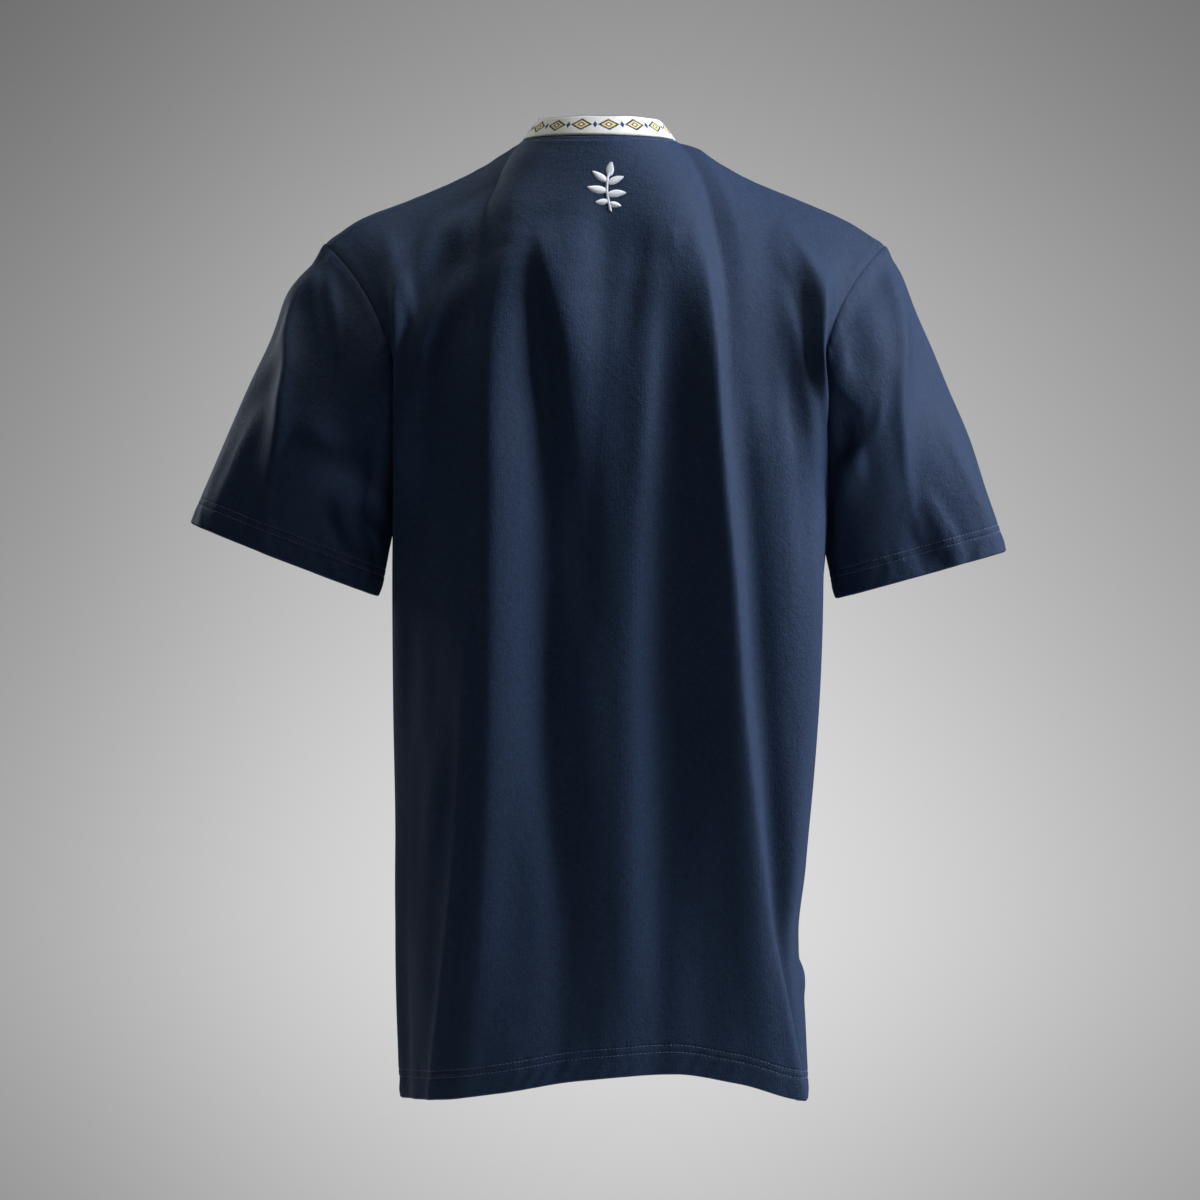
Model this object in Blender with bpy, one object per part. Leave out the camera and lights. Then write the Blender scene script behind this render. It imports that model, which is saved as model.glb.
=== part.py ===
"""A crew neck T-shirt with short sleeves, hollow and in its worn shape, made as it is cut:
back panel, front panel, two sleeves and a collar band, each one closed solid.

Metres. The origin is where the wearer's neck stands, level with the nape: +X is the wearer's
left, +Y the wearer's back and +Z is up.

Every piece is a grid of points on its outer face, moved in along its normals for the wall.
Folds are rows in short tables, in millimetres, so that they read like a fitter's notes.
"""

import math
from typing import NamedTuple

import bmesh
import bpy
import numpy as np

MM = 0.001
BACK, FRONT = 1, -1  # also the sign of Y
LEFT, RIGHT = 1, -1  # also the sign of X

# Cloth
JERSEY_THICKNESS = 1.7 * MM
HEM_THICKNESS = 2.9 * MM  # two layers of jersey
HEM_WIDTH = 25 * MM
SEAM_GAP = 0.34 * MM  # between two pieces, at every seam

# Neck: the seam where the collar is sewn on
NECK_HALF_WIDTH = 63 * MM
NECK_SHIFT = 4 * MM  # the neck opening lies this far towards the wearer's left
NECK_SIDE_HEIGHT = 6 * MM
NECK_SQUARENESS = 2.0
NECK_DROP_POWER = 1.35  # keeps the neckline level where it crosses the shoulders
NECK_DEPTHS = {BACK: (66 * MM, 2 * MM), FRONT: (84 * MM, -74 * MM)}  # depth and height, middle

# Collar band
COLLAR_HEIGHT = 20 * MM
COLLAR_THICKNESS = 2.6 * MM
COLLAR_LEAN_BACK = 30  # degrees from upright, towards the neck
COLLAR_LEAN_FRONT = 52
COLLAR_SECTION = (  # (up, out) from the outer face of the seam, over the top to the inside
    (0.35 * COLLAR_HEIGHT, 0.12 * COLLAR_THICKNESS),
    (0.70 * COLLAR_HEIGHT, 0.10 * COLLAR_THICKNESS),
    (COLLAR_HEIGHT - COLLAR_THICKNESS / 2, 0),
    (COLLAR_HEIGHT, -COLLAR_THICKNESS / 2),
    (COLLAR_HEIGHT - COLLAR_THICKNESS / 2, -COLLAR_THICKNESS),
    (0.70 * COLLAR_HEIGHT, -0.95 * COLLAR_THICKNESS),
    (0.35 * COLLAR_HEIGHT, -0.95 * COLLAR_THICKNESS),
)

# Armhole and sleeve
SLEEVE_LIFT_LESS_UNDER = 0.14  # the sleeve leaves the underarm steeper than the shoulder
SLEEVE_FULLNESS = 0.34  # how far its back and front swell, as a share of its length
SLEEVE_FALL = 0.85
UNDERARM_HEIGHT = -250 * MM
YOKE_DIP = 50 * MM  # how far the yoke reaches below the underarms, in the middle

# How the grids are divided
NECK_COLUMNS = 18
SHOULDER_COLUMNS = 14
COLUMNS = NECK_COLUMNS + 2 * SHOULDER_COLUMNS
YOKE_ROWS = 16  # from the shoulder seam to the underarm
SKIRT_ROWS = 16  # from the underarm to the hem
SLEEVE_ROWS = 13
NECK_SHARE = NECK_COLUMNS / COLUMNS  # how far across a panel's half the neckline reaches
NECK_FIRST, NECK_LAST = SHOULDER_COLUMNS, SHOULDER_COLUMNS + NECK_COLUMNS
NECK_PLACES_BACK = (0, np.arange(NECK_LAST, NECK_FIRST - 1, -1))
NECK_PLACES_FRONT = (0, np.arange(NECK_FIRST + 1, NECK_LAST))
SHOULDER_PLACES = (0, np.r_[0 : NECK_FIRST + 1, NECK_LAST : COLUMNS + 1])
CORNER_COLUMNS = (0, NECK_FIRST, NECK_LAST, COLUMNS, 0, COLUMNS)
ARC_SAMPLES = 160  # round the body
PATH_SAMPLES = 25  # along a fold
NORMAL_SMOOTHING = 4  # keeps the inner face from crossing itself under a sharp fold

# Where the fold tables measure
PANEL_HALF_ARC = 250  # millimetres from a panel's middle to its side seam
SLEEVE_PER_DEGREE = 1.3  # millimetres round a sleeve

# Where folds end at a seam
FADE_TO_SIDE = 0.07  # share of a panel's half
FADE_FROM_TOP = 0.34  # share of the yoke
FADE_FROM_ARMHOLE = 30  # millimetres down a sleeve
CREST_SOFTNESS = 0.25  # rounds a sharp fold's crest, as a share of its spread


class Side(NamedTuple):
    """What differs between the wearer's left and right, in millimetres."""

    name: str
    sign: int
    tip_out: float  # the shoulder seam's outer end
    tip_height: float
    cuff_outer: tuple  # (out, height) of the sleeve hem's outermost point
    cuff_inner: tuple  # and of the point next to the body
    cuff_half_depth: float
    cuff_middle: float  # how far back the middle of the sleeve hem lies
    lift: float  # how far out the sleeve leaves the shoulder, as a share of its length


SIDES = (
    Side("sleeve_left", LEFT, 229, -77, (339, -306), (186, -366), 58, -4, 0.50),
    Side("sleeve_right", RIGHT, 231, -79, (330, -329), (190, -368), 58, -2, 0.38),
)


class Yoke(NamedTuple):
    """How a panel's cloth leaves its upper edge and comes to the yoke's foot, in millimetres.

    These are the tangents of cubics, so a longer one makes a wider curve.
    """

    away: float = 300  # from the shoulder seam, towards the wearer's back or front
    away_less_at_nape: float = 180
    away_less_at_collar: float = 60  # beside the collar's ends, where it spreads out instead
    spread_at_collar: float = 140
    inward_at_tip: float = 200
    fall: float = 170
    fall_more_at_tip: float = 30
    fall_more_at_nape: float = 90
    foot_fall: float = 280
    foot_fall_at_side: float = 110
    foot_inward_at_side: float = 300  # closes the armhole under the arm
    collar_reach: float = 0.85  # share of the shoulder over which the cloth spreads
    tip_power: float = 2.5  # how close to the shoulder's tip the inward lean keeps
    side_power: float = 3.2  # how close to the side seam the armhole's closing keeps


YOKES = {BACK: Yoke(), FRONT: Yoke(away_less_at_nape=210)}


class Station(NamedTuple):
    """A level section of the body below the underarm, in millimetres."""

    height: float
    left: float  # half width towards the wearer's left
    right: float
    back: float  # depth behind the side seams
    front: float
    squareness: float


STATIONS = (
    Station(-250, 161, 170, 127, 134, 2.60),
    Station(-330, 161, 166, 128, 135, 2.65),
    Station(-450, 160, 162, 127, 131, 2.70),
    Station(-580, 160, 154, 128, 128, 2.70),
    Station(-640, 159, 146, 129, 128, 2.70),
    Station(-690, 158, 150, 130, 128, 2.65),
    Station(-775, 155, 156, 133, 130, 2.60),
)

# The shoulder seam from the collar (0) to the sleeve (1): share of the drop at each share out
SHOULDER_OUT = (0.0, 0.10, 0.17, 0.35, 0.59, 0.82, 1.0)
SHOULDER_DROP = {
    LEFT: (0.0, 0.12, 0.21, 0.39, 0.585, 0.76, 1.0),
    RIGHT: (0.0, 0.057, 0.157, 0.36, 0.56, 0.765, 1.0),
}


class HemPoint(NamedTuple):
    """The hem's height at a place across a panel, in millimetres."""

    across: float
    back_height: float
    front_height: float


HEM = (
    HemPoint(-250, -775, -775),
    HemPoint(-190, -768, -777),
    HemPoint(-140, -762, -772),
    HemPoint(-100, -747, -768),
    HemPoint(-55, -739, -770),
    HemPoint(20, -744, -766),
    HemPoint(80, -754, -768),
    HemPoint(150, -764, -773),
    HemPoint(250, -775, -775),
)


class Fold(NamedTuple):
    """A soft ridge, or a trough where the rise is negative, drawn on a piece laid flat.

    On a panel a place is (millimetres from its middle towards the wearer's left, height). On a
    sleeve it is (degrees round it, millimetres from the armhole), where 0 is the top of the
    sleeve, 90 its back and 180 the underarm.
    """

    path: tuple
    rise: tuple  # millimetres, at each place
    spread: tuple  # millimetres, on the left and on the right of somebody following the path
    roundness: float = 2.0  # 2 is round, and less is a sharper crest


BACK_FOLDS = {
    "left edge": Fold(
        ((222, -62), (213, -88), (206, -108), (209, -170), (212, -330), (211, -540), (209, -800)),
        (0, 3, 6, 10, 12, 12, 11),
        (16, 30),
        1.7,
    ),
    "left drag": Fold(
        ((112, -56), (160, -96), (195, -130), (222, -196)), (0, 4, 5, 0), (15, 18)
    ),
    "second drag": Fold(
        ((74, -88), (120, -130), (158, -164), (172, -240)), (0, 4, 5, 0), (15, 18)
    ),
    "left pipe": Fold(
        ((62, -86), (78, -180), (90, -385), (98, -495), (108, -590), (120, -690), (134, -800)),
        (0, 6, 10, 12, 13, 13, 13),
        (36, 34),
    ),
    "left trough": Fold(
        ((38, -72), (30, -117), (25, -177), (31, -290), (30, -384), (20, -496), (20, -620), (28, -760)),
        (0, -5, -8, -8, -7, -7, -6, 0),
        (22, 12),
    ),
    "blade lip": Fold(
        ((36, -72), (25, -110), (16, -177), (8, -290), (6, -400)), (0, 4, 6, 5, 0), (9, 20)
    ),
    "spine trough": Fold(
        ((-24, -66), (-21, -134), (-14, -214), (-6, -330), (-6, -440)), (0, -4, -6, -4, 0), (15, 13)
    ),
    "middle pipe": Fold(
        ((-32, -90), (-28, -176), (-28, -372), (-18, -524), (-14, -690), (-12, -800)),
        (0, 5, 9, 12, 13, 13),
        (28, 20),
    ),
    "right trough": Fold(
        ((-52, -77), (-56, -212), (-68, -417), (-72, -575), (-72, -679), (-70, -800)),
        (0, -7, -9, -11, -12, -12),
        (18, 26),
    ),
    "right pipe": Fold(
        ((-62, -80), (-74, -155), (-90, -240), (-112, -350), (-138, -500), (-172, -671), (-182, -800)),
        (0, 6, 11, 13, 13, 13, 12),
        (32, 18),
        1.7,
    ),
    "right hollow": Fold(
        ((-150, -150), (-166, -213), (-170, -369), (-176, -480), (-188, -600)),
        (0, -6, -8, -6, 0),
        (15, 17),
    ),
    "right blade": Fold(
        ((-158, -68), (-172, -82), (-192, -110), (-212, -134), (-222, -170), (-220, -230)),
        (0, 4, 6, 6, 5, 0),
        (15, 16),
    ),
    "right blade trough": Fold(
        ((-168, -96), (-184, -130), (-198, -168), (-202, -260)), (0, -5, -5, 0), (15, 14)
    ),
    "right edge": Fold(
        ((-212, -72), (-212, -110), (-212, -170), (-211, -290), (-210, -500), (-208, -610), (-210, -800)),
        (0, 4, 8, 12, 12, 12, 12),
        (30, 16),
        1.7,
    ),
}

FRONT_FOLDS = {
    "left edge": Fold(
        ((220, -64), (208, -100), (208, -180), (210, -330), (208, -560), (206, -800)),
        (0, 4, 9, 11, 12, 12),
        (16, 30),
        1.7,
    ),
    "right edge": Fold(
        ((-220, -66), (-208, -104), (-208, -190), (-210, -350), (-208, -560), (-206, -800)),
        (0, 4, 9, 12, 12, 12),
        (30, 16),
        1.7,
    ),
    "left drag": Fold(((124, -62), (160, -92), (192, -132), (214, -190)), (0, 4, 5, 0), (16, 18)),
    "right drag": Fold(
        ((-128, -66), (-166, -98), (-196, -140), (-216, -200)), (0, 4, 5, 0), (18, 16)
    ),
    "left chest": Fold(
        ((132, -130), (122, -240), (108, -430), (98, -620), (92, -800)), (0, 6, 10, 12, 13), (36, 30)
    ),
    "left hollow": Fold(((78, -170), (66, -320), (52, -500), (44, -800)), (0, -6, -9, -10), (20, 24)),
    "middle pipe": Fold(((34, -210), (22, -360), (6, -560), (-4, -800)), (0, 7, 10, 11), (30, 30)),
    "right hollow": Fold(
        ((-48, -180), (-54, -330), (-60, -540), (-64, -800)), (0, -7, -10, -10), (22, 20)
    ),
    "right chest": Fold(
        ((-120, -120), (-110, -250), (-104, -420), (-112, -620), (-122, -800)),
        (0, 7, 11, 12, 12),
        (26, 38),
    ),
}

SLEEVE_FOLDS = {
    LEFT: {
        "outer ridge": Fold(
            ((2, 20), (10, 57), (27, 90), (46, 115), (60, 140), (74, 168), (84, 230)),
            (0, 3, 5, 5, 5, 5, 4),
            (16, 20),
            1.7,
        ),
        "cap gather": Fold(((12, 6), (34, 26), (57, 47)), (0, 3, 0), (11, 11)),
        "elbow swell": Fold(((66, 104), (92, 100), (124, 86)), (0, 7, 0), (20, 22)),
        "pinch": Fold(((98, 124), (120, 114), (144, 104)), (0, -5, -3), (15, 15)),
        "front ridge": Fold(
            ((340, 16), (322, 80), (314, 150), (318, 280)), (0, 5, 5, 4), (20, 18)
        ),
        "front swell": Fold(((292, 40), (266, 96), (250, 150)), (0, 6, 0), (24, 24)),
    },
    RIGHT: {
        "outer ridge": Fold(
            ((8, 8), (13, 36), (22, 54), (37, 75), (54, 92), (68, 120), (82, 160)),
            (0, 4, 6, 6, 6, 5, 0),
            (18, 16),
            1.7,
        ),
        "cap hollow": Fold(((66, 10), (58, 30), (66, 56)), (0, -4, 0), (14, 14)),
        "dent": Fold(((88, 40), (104, 52), (124, 50)), (0, -7, -2), (15, 13)),
        "dent rim": Fold(((134, 52), (118, 72), (98, 84)), (0, 5, 0), (13, 13)),
        "front ridge": Fold(
            ((336, 14), (318, 80), (312, 160), (316, 280)), (0, 5, 5, 4), (20, 18)
        ),
        "front swell": Fold(((292, 40), (268, 96), (252, 150)), (0, 6, 0), (24, 24)),
    },
}


def smooth_through(knots, values, at):
    """A cubic through the knots that never overshoots them, and level beyond both ends."""
    knots, values = np.asarray(knots, float), np.asarray(values, float)
    if knots[0] > knots[-1]:
        knots, values = knots[::-1], values[::-1]
    steps, rises = np.diff(knots), np.diff(values)
    slopes = rises / steps
    tangents = np.zeros(len(knots))
    tangents[0], tangents[-1] = slopes[0], slopes[-1]
    turning = slopes[:-1] * slopes[1:] <= 0
    mean = 2 * slopes[:-1] * slopes[1:] / np.where(turning, 1, slopes[:-1] + slopes[1:])
    tangents[1:-1] = np.where(turning, 0, mean)
    at = np.clip(at, knots[0], knots[-1])
    cell = np.clip(np.searchsorted(knots, at, side="right") - 1, 0, len(steps) - 1)
    t = (at - knots[cell]) / steps[cell]
    return hermite(
        values[cell],
        values[cell + 1],
        tangents[cell] * steps[cell],
        tangents[cell + 1] * steps[cell],
        t,
    )


def hermite(start, end, leaving, arriving, t):
    """The cubic from start to end with these tangents."""
    return (
        start * (2 * t**3 - 3 * t**2 + 1)
        + leaving * (t**3 - 2 * t**2 + t)
        + end * (3 * t**2 - 2 * t**3)
        + arriving * (t**3 - t**2)
    )


def fold_relief(fold, places, stretch):
    """How far one fold stands out at places (..., 2). stretch turns them into millimetres."""
    knots = np.linspace(0, 1, len(fold.path))
    shares = np.linspace(0, 1, PATH_SAMPLES)
    path = np.array(fold.path, float) * stretch
    line = np.stack([smooth_through(knots, path[:, axis], shares) for axis in (0, 1)], axis=1)
    best = np.full(places.shape[:-1], np.inf)
    signed, share = np.zeros_like(best), np.zeros_like(best)
    places = places * stretch
    for k in range(PATH_SAMPLES - 1):
        run, offset = line[k + 1] - line[k], places - line[k]
        along = np.clip(offset @ run / (run @ run), 0, 1)
        away = offset - along[..., None] * run
        distance = np.hypot(away[..., 0], away[..., 1])
        nearer = distance < best
        best = np.where(nearer, distance, best)
        side = np.sign(run[0] * away[..., 1] - run[1] * away[..., 0])
        signed = np.where(nearer, distance * side, signed)
        share = np.where(nearer, (k + along) / (PATH_SAMPLES - 1), share)
    reach = np.where(signed > 0, fold.spread[0], fold.spread[1])
    softened = np.sqrt((best / reach) ** 2 + CREST_SOFTNESS**2) - CREST_SOFTNESS
    return smooth_through(knots, fold.rise, share) * np.exp(-(softened**fold.roundness))


def relief(folds, places, stretch):
    """How far all the folds of a piece stand out together, in metres."""
    return sum(fold_relief(fold, places, stretch) for fold in folds.values()) * MM


def ramp(t):
    """0 to 1, level at both ends."""
    t = np.clip(t, 0, 1)
    return t * t * (3 - 2 * t)


def station_values(height):
    """The body's half widths, depths and squareness at these heights, in metres."""
    knots = [s.height for s in STATIONS]
    read = [
        smooth_through(knots, [getattr(s, name) for s in STATIONS], height / MM)
        for name in ("left", "right", "back", "front")
    ]
    square = smooth_through(knots, [s.squareness for s in STATIONS], height / MM)
    return [value * MM for value in read] + [square]


def around(face, height, angle):
    """(x, y) on the body's level section, at angles measured from the panel's middle."""
    left, right, back, front, square = station_values(height)
    half_width = np.where(angle < 0, right, left)
    depth = back if face == BACK else front
    across, away = np.abs(np.sin(angle)) / half_width, np.abs(np.cos(angle)) / depth
    radius = (across**square + away**square) ** (-1 / square)
    return radius * np.sin(angle), face * radius * np.cos(angle)


def section_angles(face, across):
    """Angles that space the columns evenly round the body, from side seam to side seam."""
    angle = np.linspace(-math.pi / 2, math.pi / 2, ARC_SAMPLES)
    x, y = around(face, np.full_like(angle, UNDERARM_HEIGHT), angle)
    arc = np.concatenate([[0], np.cumsum(np.hypot(np.diff(x), np.diff(y)))])
    middle = np.interp(0, angle, arc)
    share = np.where(arc < middle, arc / middle - 1, (arc - middle) / (arc[-1] - middle))
    return np.interp(across, share, angle)


def neckline_point(face, sign, share):
    """A place on the neckline, from the middle of the back or front (0) to the shoulder (1)."""
    angle = share * math.pi / 2
    level = max(math.cos(angle), 0) ** (2 / NECK_SQUARENESS)
    across = math.sin(angle) ** (2 / NECK_SQUARENESS)
    depth, middle = NECK_DEPTHS[face]
    x = NECK_SHIFT + sign * NECK_HALF_WIDTH * across
    z = NECK_SIDE_HEIGHT + (middle - NECK_SIDE_HEIGHT) * level**NECK_DROP_POWER
    return (x, face * depth * level, z)


def shoulder_point(side, share):
    """A place on the shoulder seam, from the collar (0) to the sleeve (1)."""
    start = NECK_SHIFT + side.sign * NECK_HALF_WIDTH
    x = start + (side.sign * side.tip_out * MM - start) * share
    drop = smooth_through(SHOULDER_OUT, SHOULDER_DROP[side.sign], share)
    return (x, 0, NECK_SIDE_HEIGHT + (side.tip_height * MM - NECK_SIDE_HEIGHT) * drop)


def top_edge(face, across):
    """The panel's upper edge: shoulder seam, neckline, shoulder seam."""
    points = []
    for place in across:
        side = SIDES[0] if place >= 0 else SIDES[1]
        out = abs(place)
        if out <= NECK_SHARE:
            points.append(neckline_point(face, side.sign, out / NECK_SHARE))
        else:
            points.append(shoulder_point(side, (out - NECK_SHARE) / (1 - NECK_SHARE)))
    return np.array(points)


def yoke_foot(across):
    """The height where the yoke ends: at the underarms, and lower between them."""
    in_from_side = (1 - np.abs(across)) * PANEL_HALF_ARC * MM
    return UNDERARM_HEIGHT - YOKE_DIP * (1 - np.exp(-in_from_side / YOKE_DIP))


def yoke_tangents(face, across):
    """How the yoke's cubics leave the panel's upper edge and arrive at its foot."""
    yoke = YOKES[face]
    out, sign = np.abs(across), np.where(across < 0, -1, 1)
    shoulder = np.clip((out - NECK_SHARE) / (1 - NECK_SHARE), 0, 1)
    to_collar_end = np.clip(out / NECK_SHARE, 0, 1)
    nape = ramp(1 - to_collar_end)
    beside_collar = np.where(
        out < NECK_SHARE, to_collar_end**2, 1 - ramp(shoulder / yoke.collar_reach)
    )
    tip, side = shoulder**yoke.tip_power, out**yoke.side_power
    away = yoke.away - yoke.away_less_at_nape * nape - yoke.away_less_at_collar * beside_collar
    fall = yoke.fall + yoke.fall_more_at_tip * shoulder + yoke.fall_more_at_nape * nape
    outward = yoke.spread_at_collar * beside_collar - yoke.inward_at_tip * tip
    leaving = np.stack([sign * outward, face * away, -fall], axis=1)
    foot_fall = yoke.foot_fall + (yoke.foot_fall_at_side - yoke.foot_fall) * side
    arriving = np.stack([0 * side, -face * yoke.foot_inward_at_side * side, -foot_fall], axis=1)
    return leaving * MM, arriving * MM


def hem_height(face, across):
    """The hem's height across a panel, in metres."""
    column = "back_height" if face == BACK else "front_height"
    heights = [getattr(point, column) for point in HEM]
    return smooth_through([point.across for point in HEM], heights, across * PANEL_HALF_ARC) * MM


def panel_base(face, across, yoke_rows, skirt_rows):
    """The panel's outer face before its folds: rows of points from the top down."""
    angles = section_angles(face, across)
    foot, hem = yoke_foot(across), hem_height(face, across)
    top = top_edge(face, across)
    bottom = np.stack([*around(face, foot, angles), foot], axis=1)
    leaving, arriving = yoke_tangents(face, across)
    rows = [
        hermite(top, bottom, leaving, arriving, t) for t in np.linspace(0, 1, yoke_rows + 1)
    ]
    hem_share = HEM_WIDTH / (foot - hem)
    for t in np.linspace(0, 1, skirt_rows)[1:]:
        height = foot + (hem - foot) * t * (1 - hem_share)
        rows.append(np.stack([*around(face, height, angles), height], axis=1))
    rows.append(np.stack([*around(face, hem, angles), hem], axis=1))
    return np.array(rows)


def unit(vectors):
    return vectors / np.linalg.norm(vectors, axis=-1, keepdims=True)


def grid_normals(points, closed, outward):
    """Unit normals of a grid of points. closed means that the columns go all the way round."""
    if closed:
        wide = np.concatenate([points[:, -1:], points, points[:, :1]], axis=1)
        along = np.gradient(wide, axis=1)[:, 1:-1]
    else:
        along = np.gradient(points, axis=1)
    normals = unit(np.cross(along, np.gradient(points, axis=0)) * outward)
    for _ in range(NORMAL_SMOOTHING):
        normals[1:-1] = (normals[:-2] + 2 * normals[1:-1] + normals[2:]) / 4
        normals[:, 1:-1] = (normals[:, :-2] + 2 * normals[:, 1:-1] + normals[:, 2:]) / 4
        normals = unit(normals)
    return normals


def panel_outer(face, folds, columns, yoke_rows, skirt_rows):
    """The panel's outer face with its folds, which end at its seams."""
    across = np.linspace(-1, 1, columns + 1)
    base = panel_base(face, across, yoke_rows, skirt_rows)
    place = np.broadcast_to(across * PANEL_HALF_ARC, base.shape[:2])
    rise = relief(folds, np.stack([place, base[:, :, 2] / MM], axis=2), (1, 1))
    rise *= ramp((1 - np.abs(across)) / FADE_TO_SIDE)
    rise *= ramp(np.arange(len(base)) / (FADE_FROM_TOP * yoke_rows))[:, None]
    return base + grid_normals(base, False, face) * rise[:, :, None]


def armhole_ring(side, back, front, yoke_rows):
    """The armhole from the shoulder's tip down the back to the underarm and up the front."""
    column = side_column(side)
    return np.concatenate([back[: yoke_rows + 1, column], front[yoke_rows - 1 : 0 : -1, column]])


def side_column(side):
    return -1 if side.sign == LEFT else 0


def cuff_ring(side, turns):
    """The sleeve's hem, as a leaning oval."""
    outer, inner = np.array(side.cuff_outer), np.array(side.cuff_inner)
    middle, reach = (outer + inner) / 2, (outer - inner) / 2
    out, height = (middle[:, None] + reach[:, None] * np.cos(turns)) * MM
    back = (side.cuff_middle + side.cuff_half_depth * np.sin(turns)) * MM
    return np.stack([side.sign * out, back, height], axis=1)


def sleeve_base(side, ring, rows):
    """The sleeve's outer face before its folds: cubics from the armhole to the sleeve's hem."""
    turns = np.linspace(0, 2 * math.pi, len(ring), endpoint=False)
    cuff = cuff_ring(side, turns)
    reach = np.linalg.norm(cuff - ring, axis=1)
    under = (1 - np.cos(turns)) / 2
    outward = side.sign * (side.lift - SLEEVE_LIFT_LESS_UNDER * under)
    fullness = SLEEVE_FULLNESS * np.sin(turns)
    leaving = np.stack([outward, fullness, np.full_like(turns, -SLEEVE_FALL)], axis=1)
    run = unit(np.array(side.cuff_outer) - np.array(side.cuff_inner))
    arriving = np.array([side.sign * run[1], 0, -run[0]])
    hem_share = HEM_WIDTH / reach
    down = [t * (1 - hem_share) for t in np.linspace(0, 1, rows)] + [np.ones_like(reach)]
    pull = reach[:, None]
    return np.array([hermite(ring, cuff, leaving * pull, arriving * pull, t[:, None]) for t in down])


def sleeve_outer(side, ring, rows):
    """The sleeve's outer face with its folds, which begin a little way from the armhole."""
    base = sleeve_base(side, ring, rows)
    step = np.linalg.norm(np.diff(base, axis=0), axis=2)
    down = np.concatenate([np.zeros((1, len(ring))), np.cumsum(step, axis=0)]) / MM
    turn = np.broadcast_to(np.linspace(0, 360, len(ring), endpoint=False), down.shape)
    rise = sum(
        relief(SLEEVE_FOLDS[side.sign], np.stack([turn + lap, down], axis=2), (SLEEVE_PER_DEGREE, 1))
        for lap in (-360, 0)
    )
    rise *= ramp(down / FADE_FROM_ARMHOLE)
    return base + grid_normals(base, True, -side.sign) * rise[:, :, None]


def neck_ring(back, front):
    """The neckline from its left end across the back to the right, and round the front."""
    return np.concatenate([back[NECK_PLACES_BACK], front[NECK_PLACES_FRONT]])


def seam_step(edge, inner, closed):
    """Half a seam gap, square to an edge, towards the line of points beside it."""
    if closed:
        along = unit(np.roll(edge, -1, axis=0) - np.roll(edge, 1, axis=0))
    else:
        along = unit(np.gradient(edge, axis=0))
    step = inner - edge
    step -= along * np.sum(step * along, axis=1, keepdims=True)
    return unit(step) * SEAM_GAP / 2


class Piece:
    """A piece of cloth: a grid of points on its outer face, from the top down, and its wall."""

    def __init__(self, name, points, outward, closed):
        self.name = name
        self.points = points
        self.closed = closed
        self.normals = grid_normals(points, closed, outward)

    def outer(self):
        """The outer face, drawn back from the seams by half a gap."""
        grid, moved = self.points, self.points.copy()
        moved[0] += seam_step(grid[0], grid[1], self.closed)
        if not self.closed:
            moved[:, 0] += seam_step(grid[:, 0], grid[:, 1], False)
            moved[:, -1] += seam_step(grid[:, -1], grid[:, -2], False)
        return moved

    def mesh(self):
        """The wall, which is two layers thick where the hem is turned up."""
        outer = self.outer()
        thickness = np.full((*outer.shape[:2], 1), JERSEY_THICKNESS)
        thickness[-2:] = HEM_THICKNESS
        return wall_mesh(self.name, outer, outer - self.normals * thickness, self.closed)


def wall_mesh(name, outer, inner, closed):
    """A closed wall between two grids of points."""
    rows, columns = outer.shape[:2]
    mesh = bmesh.new()
    outside, inside = (
        [[mesh.verts.new(point) for point in row] for row in grid] for grid in (outer, inner)
    )
    pairs = [(c, (c + 1) % columns) for c in range(columns if closed else columns - 1)]
    for r in range(rows - 1):
        for c, n in pairs:
            mesh.faces.new([outside[r][c], outside[r][n], outside[r + 1][n], outside[r + 1][c]])
            mesh.faces.new([inside[r + 1][c], inside[r + 1][n], inside[r][n], inside[r][c]])
    for r in (0, rows - 1):
        for c, n in pairs:
            mesh.faces.new([outside[r][c], inside[r][c], inside[r][n], outside[r][n]])
    for c in () if closed else (0, columns - 1):
        for r in range(rows - 1):
            mesh.faces.new([outside[r][c], outside[r + 1][c], inside[r + 1][c], inside[r][c]])
    return finished(mesh, name)


def finished(mesh, name):
    """The mesh with its faces turned outwards, as Blender data."""
    bmesh.ops.recalc_face_normals(mesh, faces=mesh.faces)
    data = bpy.data.meshes.new(name)
    mesh.to_mesh(data)
    mesh.free()
    return data


class Collar:
    """The band, which stands on the neckline and leans towards the neck."""

    name = "collar_band"

    def __init__(self, ring):
        self.ring = ring
        inward = ring.mean(axis=0) - ring
        inward[:, 2] = 0
        inward = unit(inward)
        along = unit(np.roll(ring, -1, axis=0) - np.roll(ring, 1, axis=0))
        to_front = (ring[:, 1].max() - ring[:, 1]) / np.ptp(ring[:, 1])
        lean = COLLAR_LEAN_BACK + (COLLAR_LEAN_FRONT - COLLAR_LEAN_BACK) * ramp(to_front)
        lean = np.radians(lean)[:, None]
        rising = inward * np.sin(lean) + np.array([0, 0, 1]) * np.cos(lean)
        self.rising = unit(rising - along * np.sum(rising * along, axis=1, keepdims=True))
        outward = np.cross(self.rising, along)
        self.outward = outward * np.sign(-np.sum(outward * inward, axis=1, keepdims=True))
        self.normals = self.outward.copy()

    def mesh(self):
        """A flat section with a round upper edge, carried round the neckline."""
        foot = self.ring + self.rising * SEAM_GAP
        lines = [foot]
        for up, out in COLLAR_SECTION:
            lines.append(self.ring + self.rising * up + self.outward * out)
        lines.append(foot - self.normals * COLLAR_THICKNESS)
        mesh = bmesh.new()
        loops = [[mesh.verts.new(point) for point in line] for line in lines]
        count = len(self.ring)
        for k, loop in enumerate(loops):
            above = loops[(k + 1) % len(loops)]
            for i in range(count):
                n = (i + 1) % count
                mesh.faces.new([loop[i], loop[n], above[n], above[i]])
        return finished(mesh, self.name)


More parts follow.
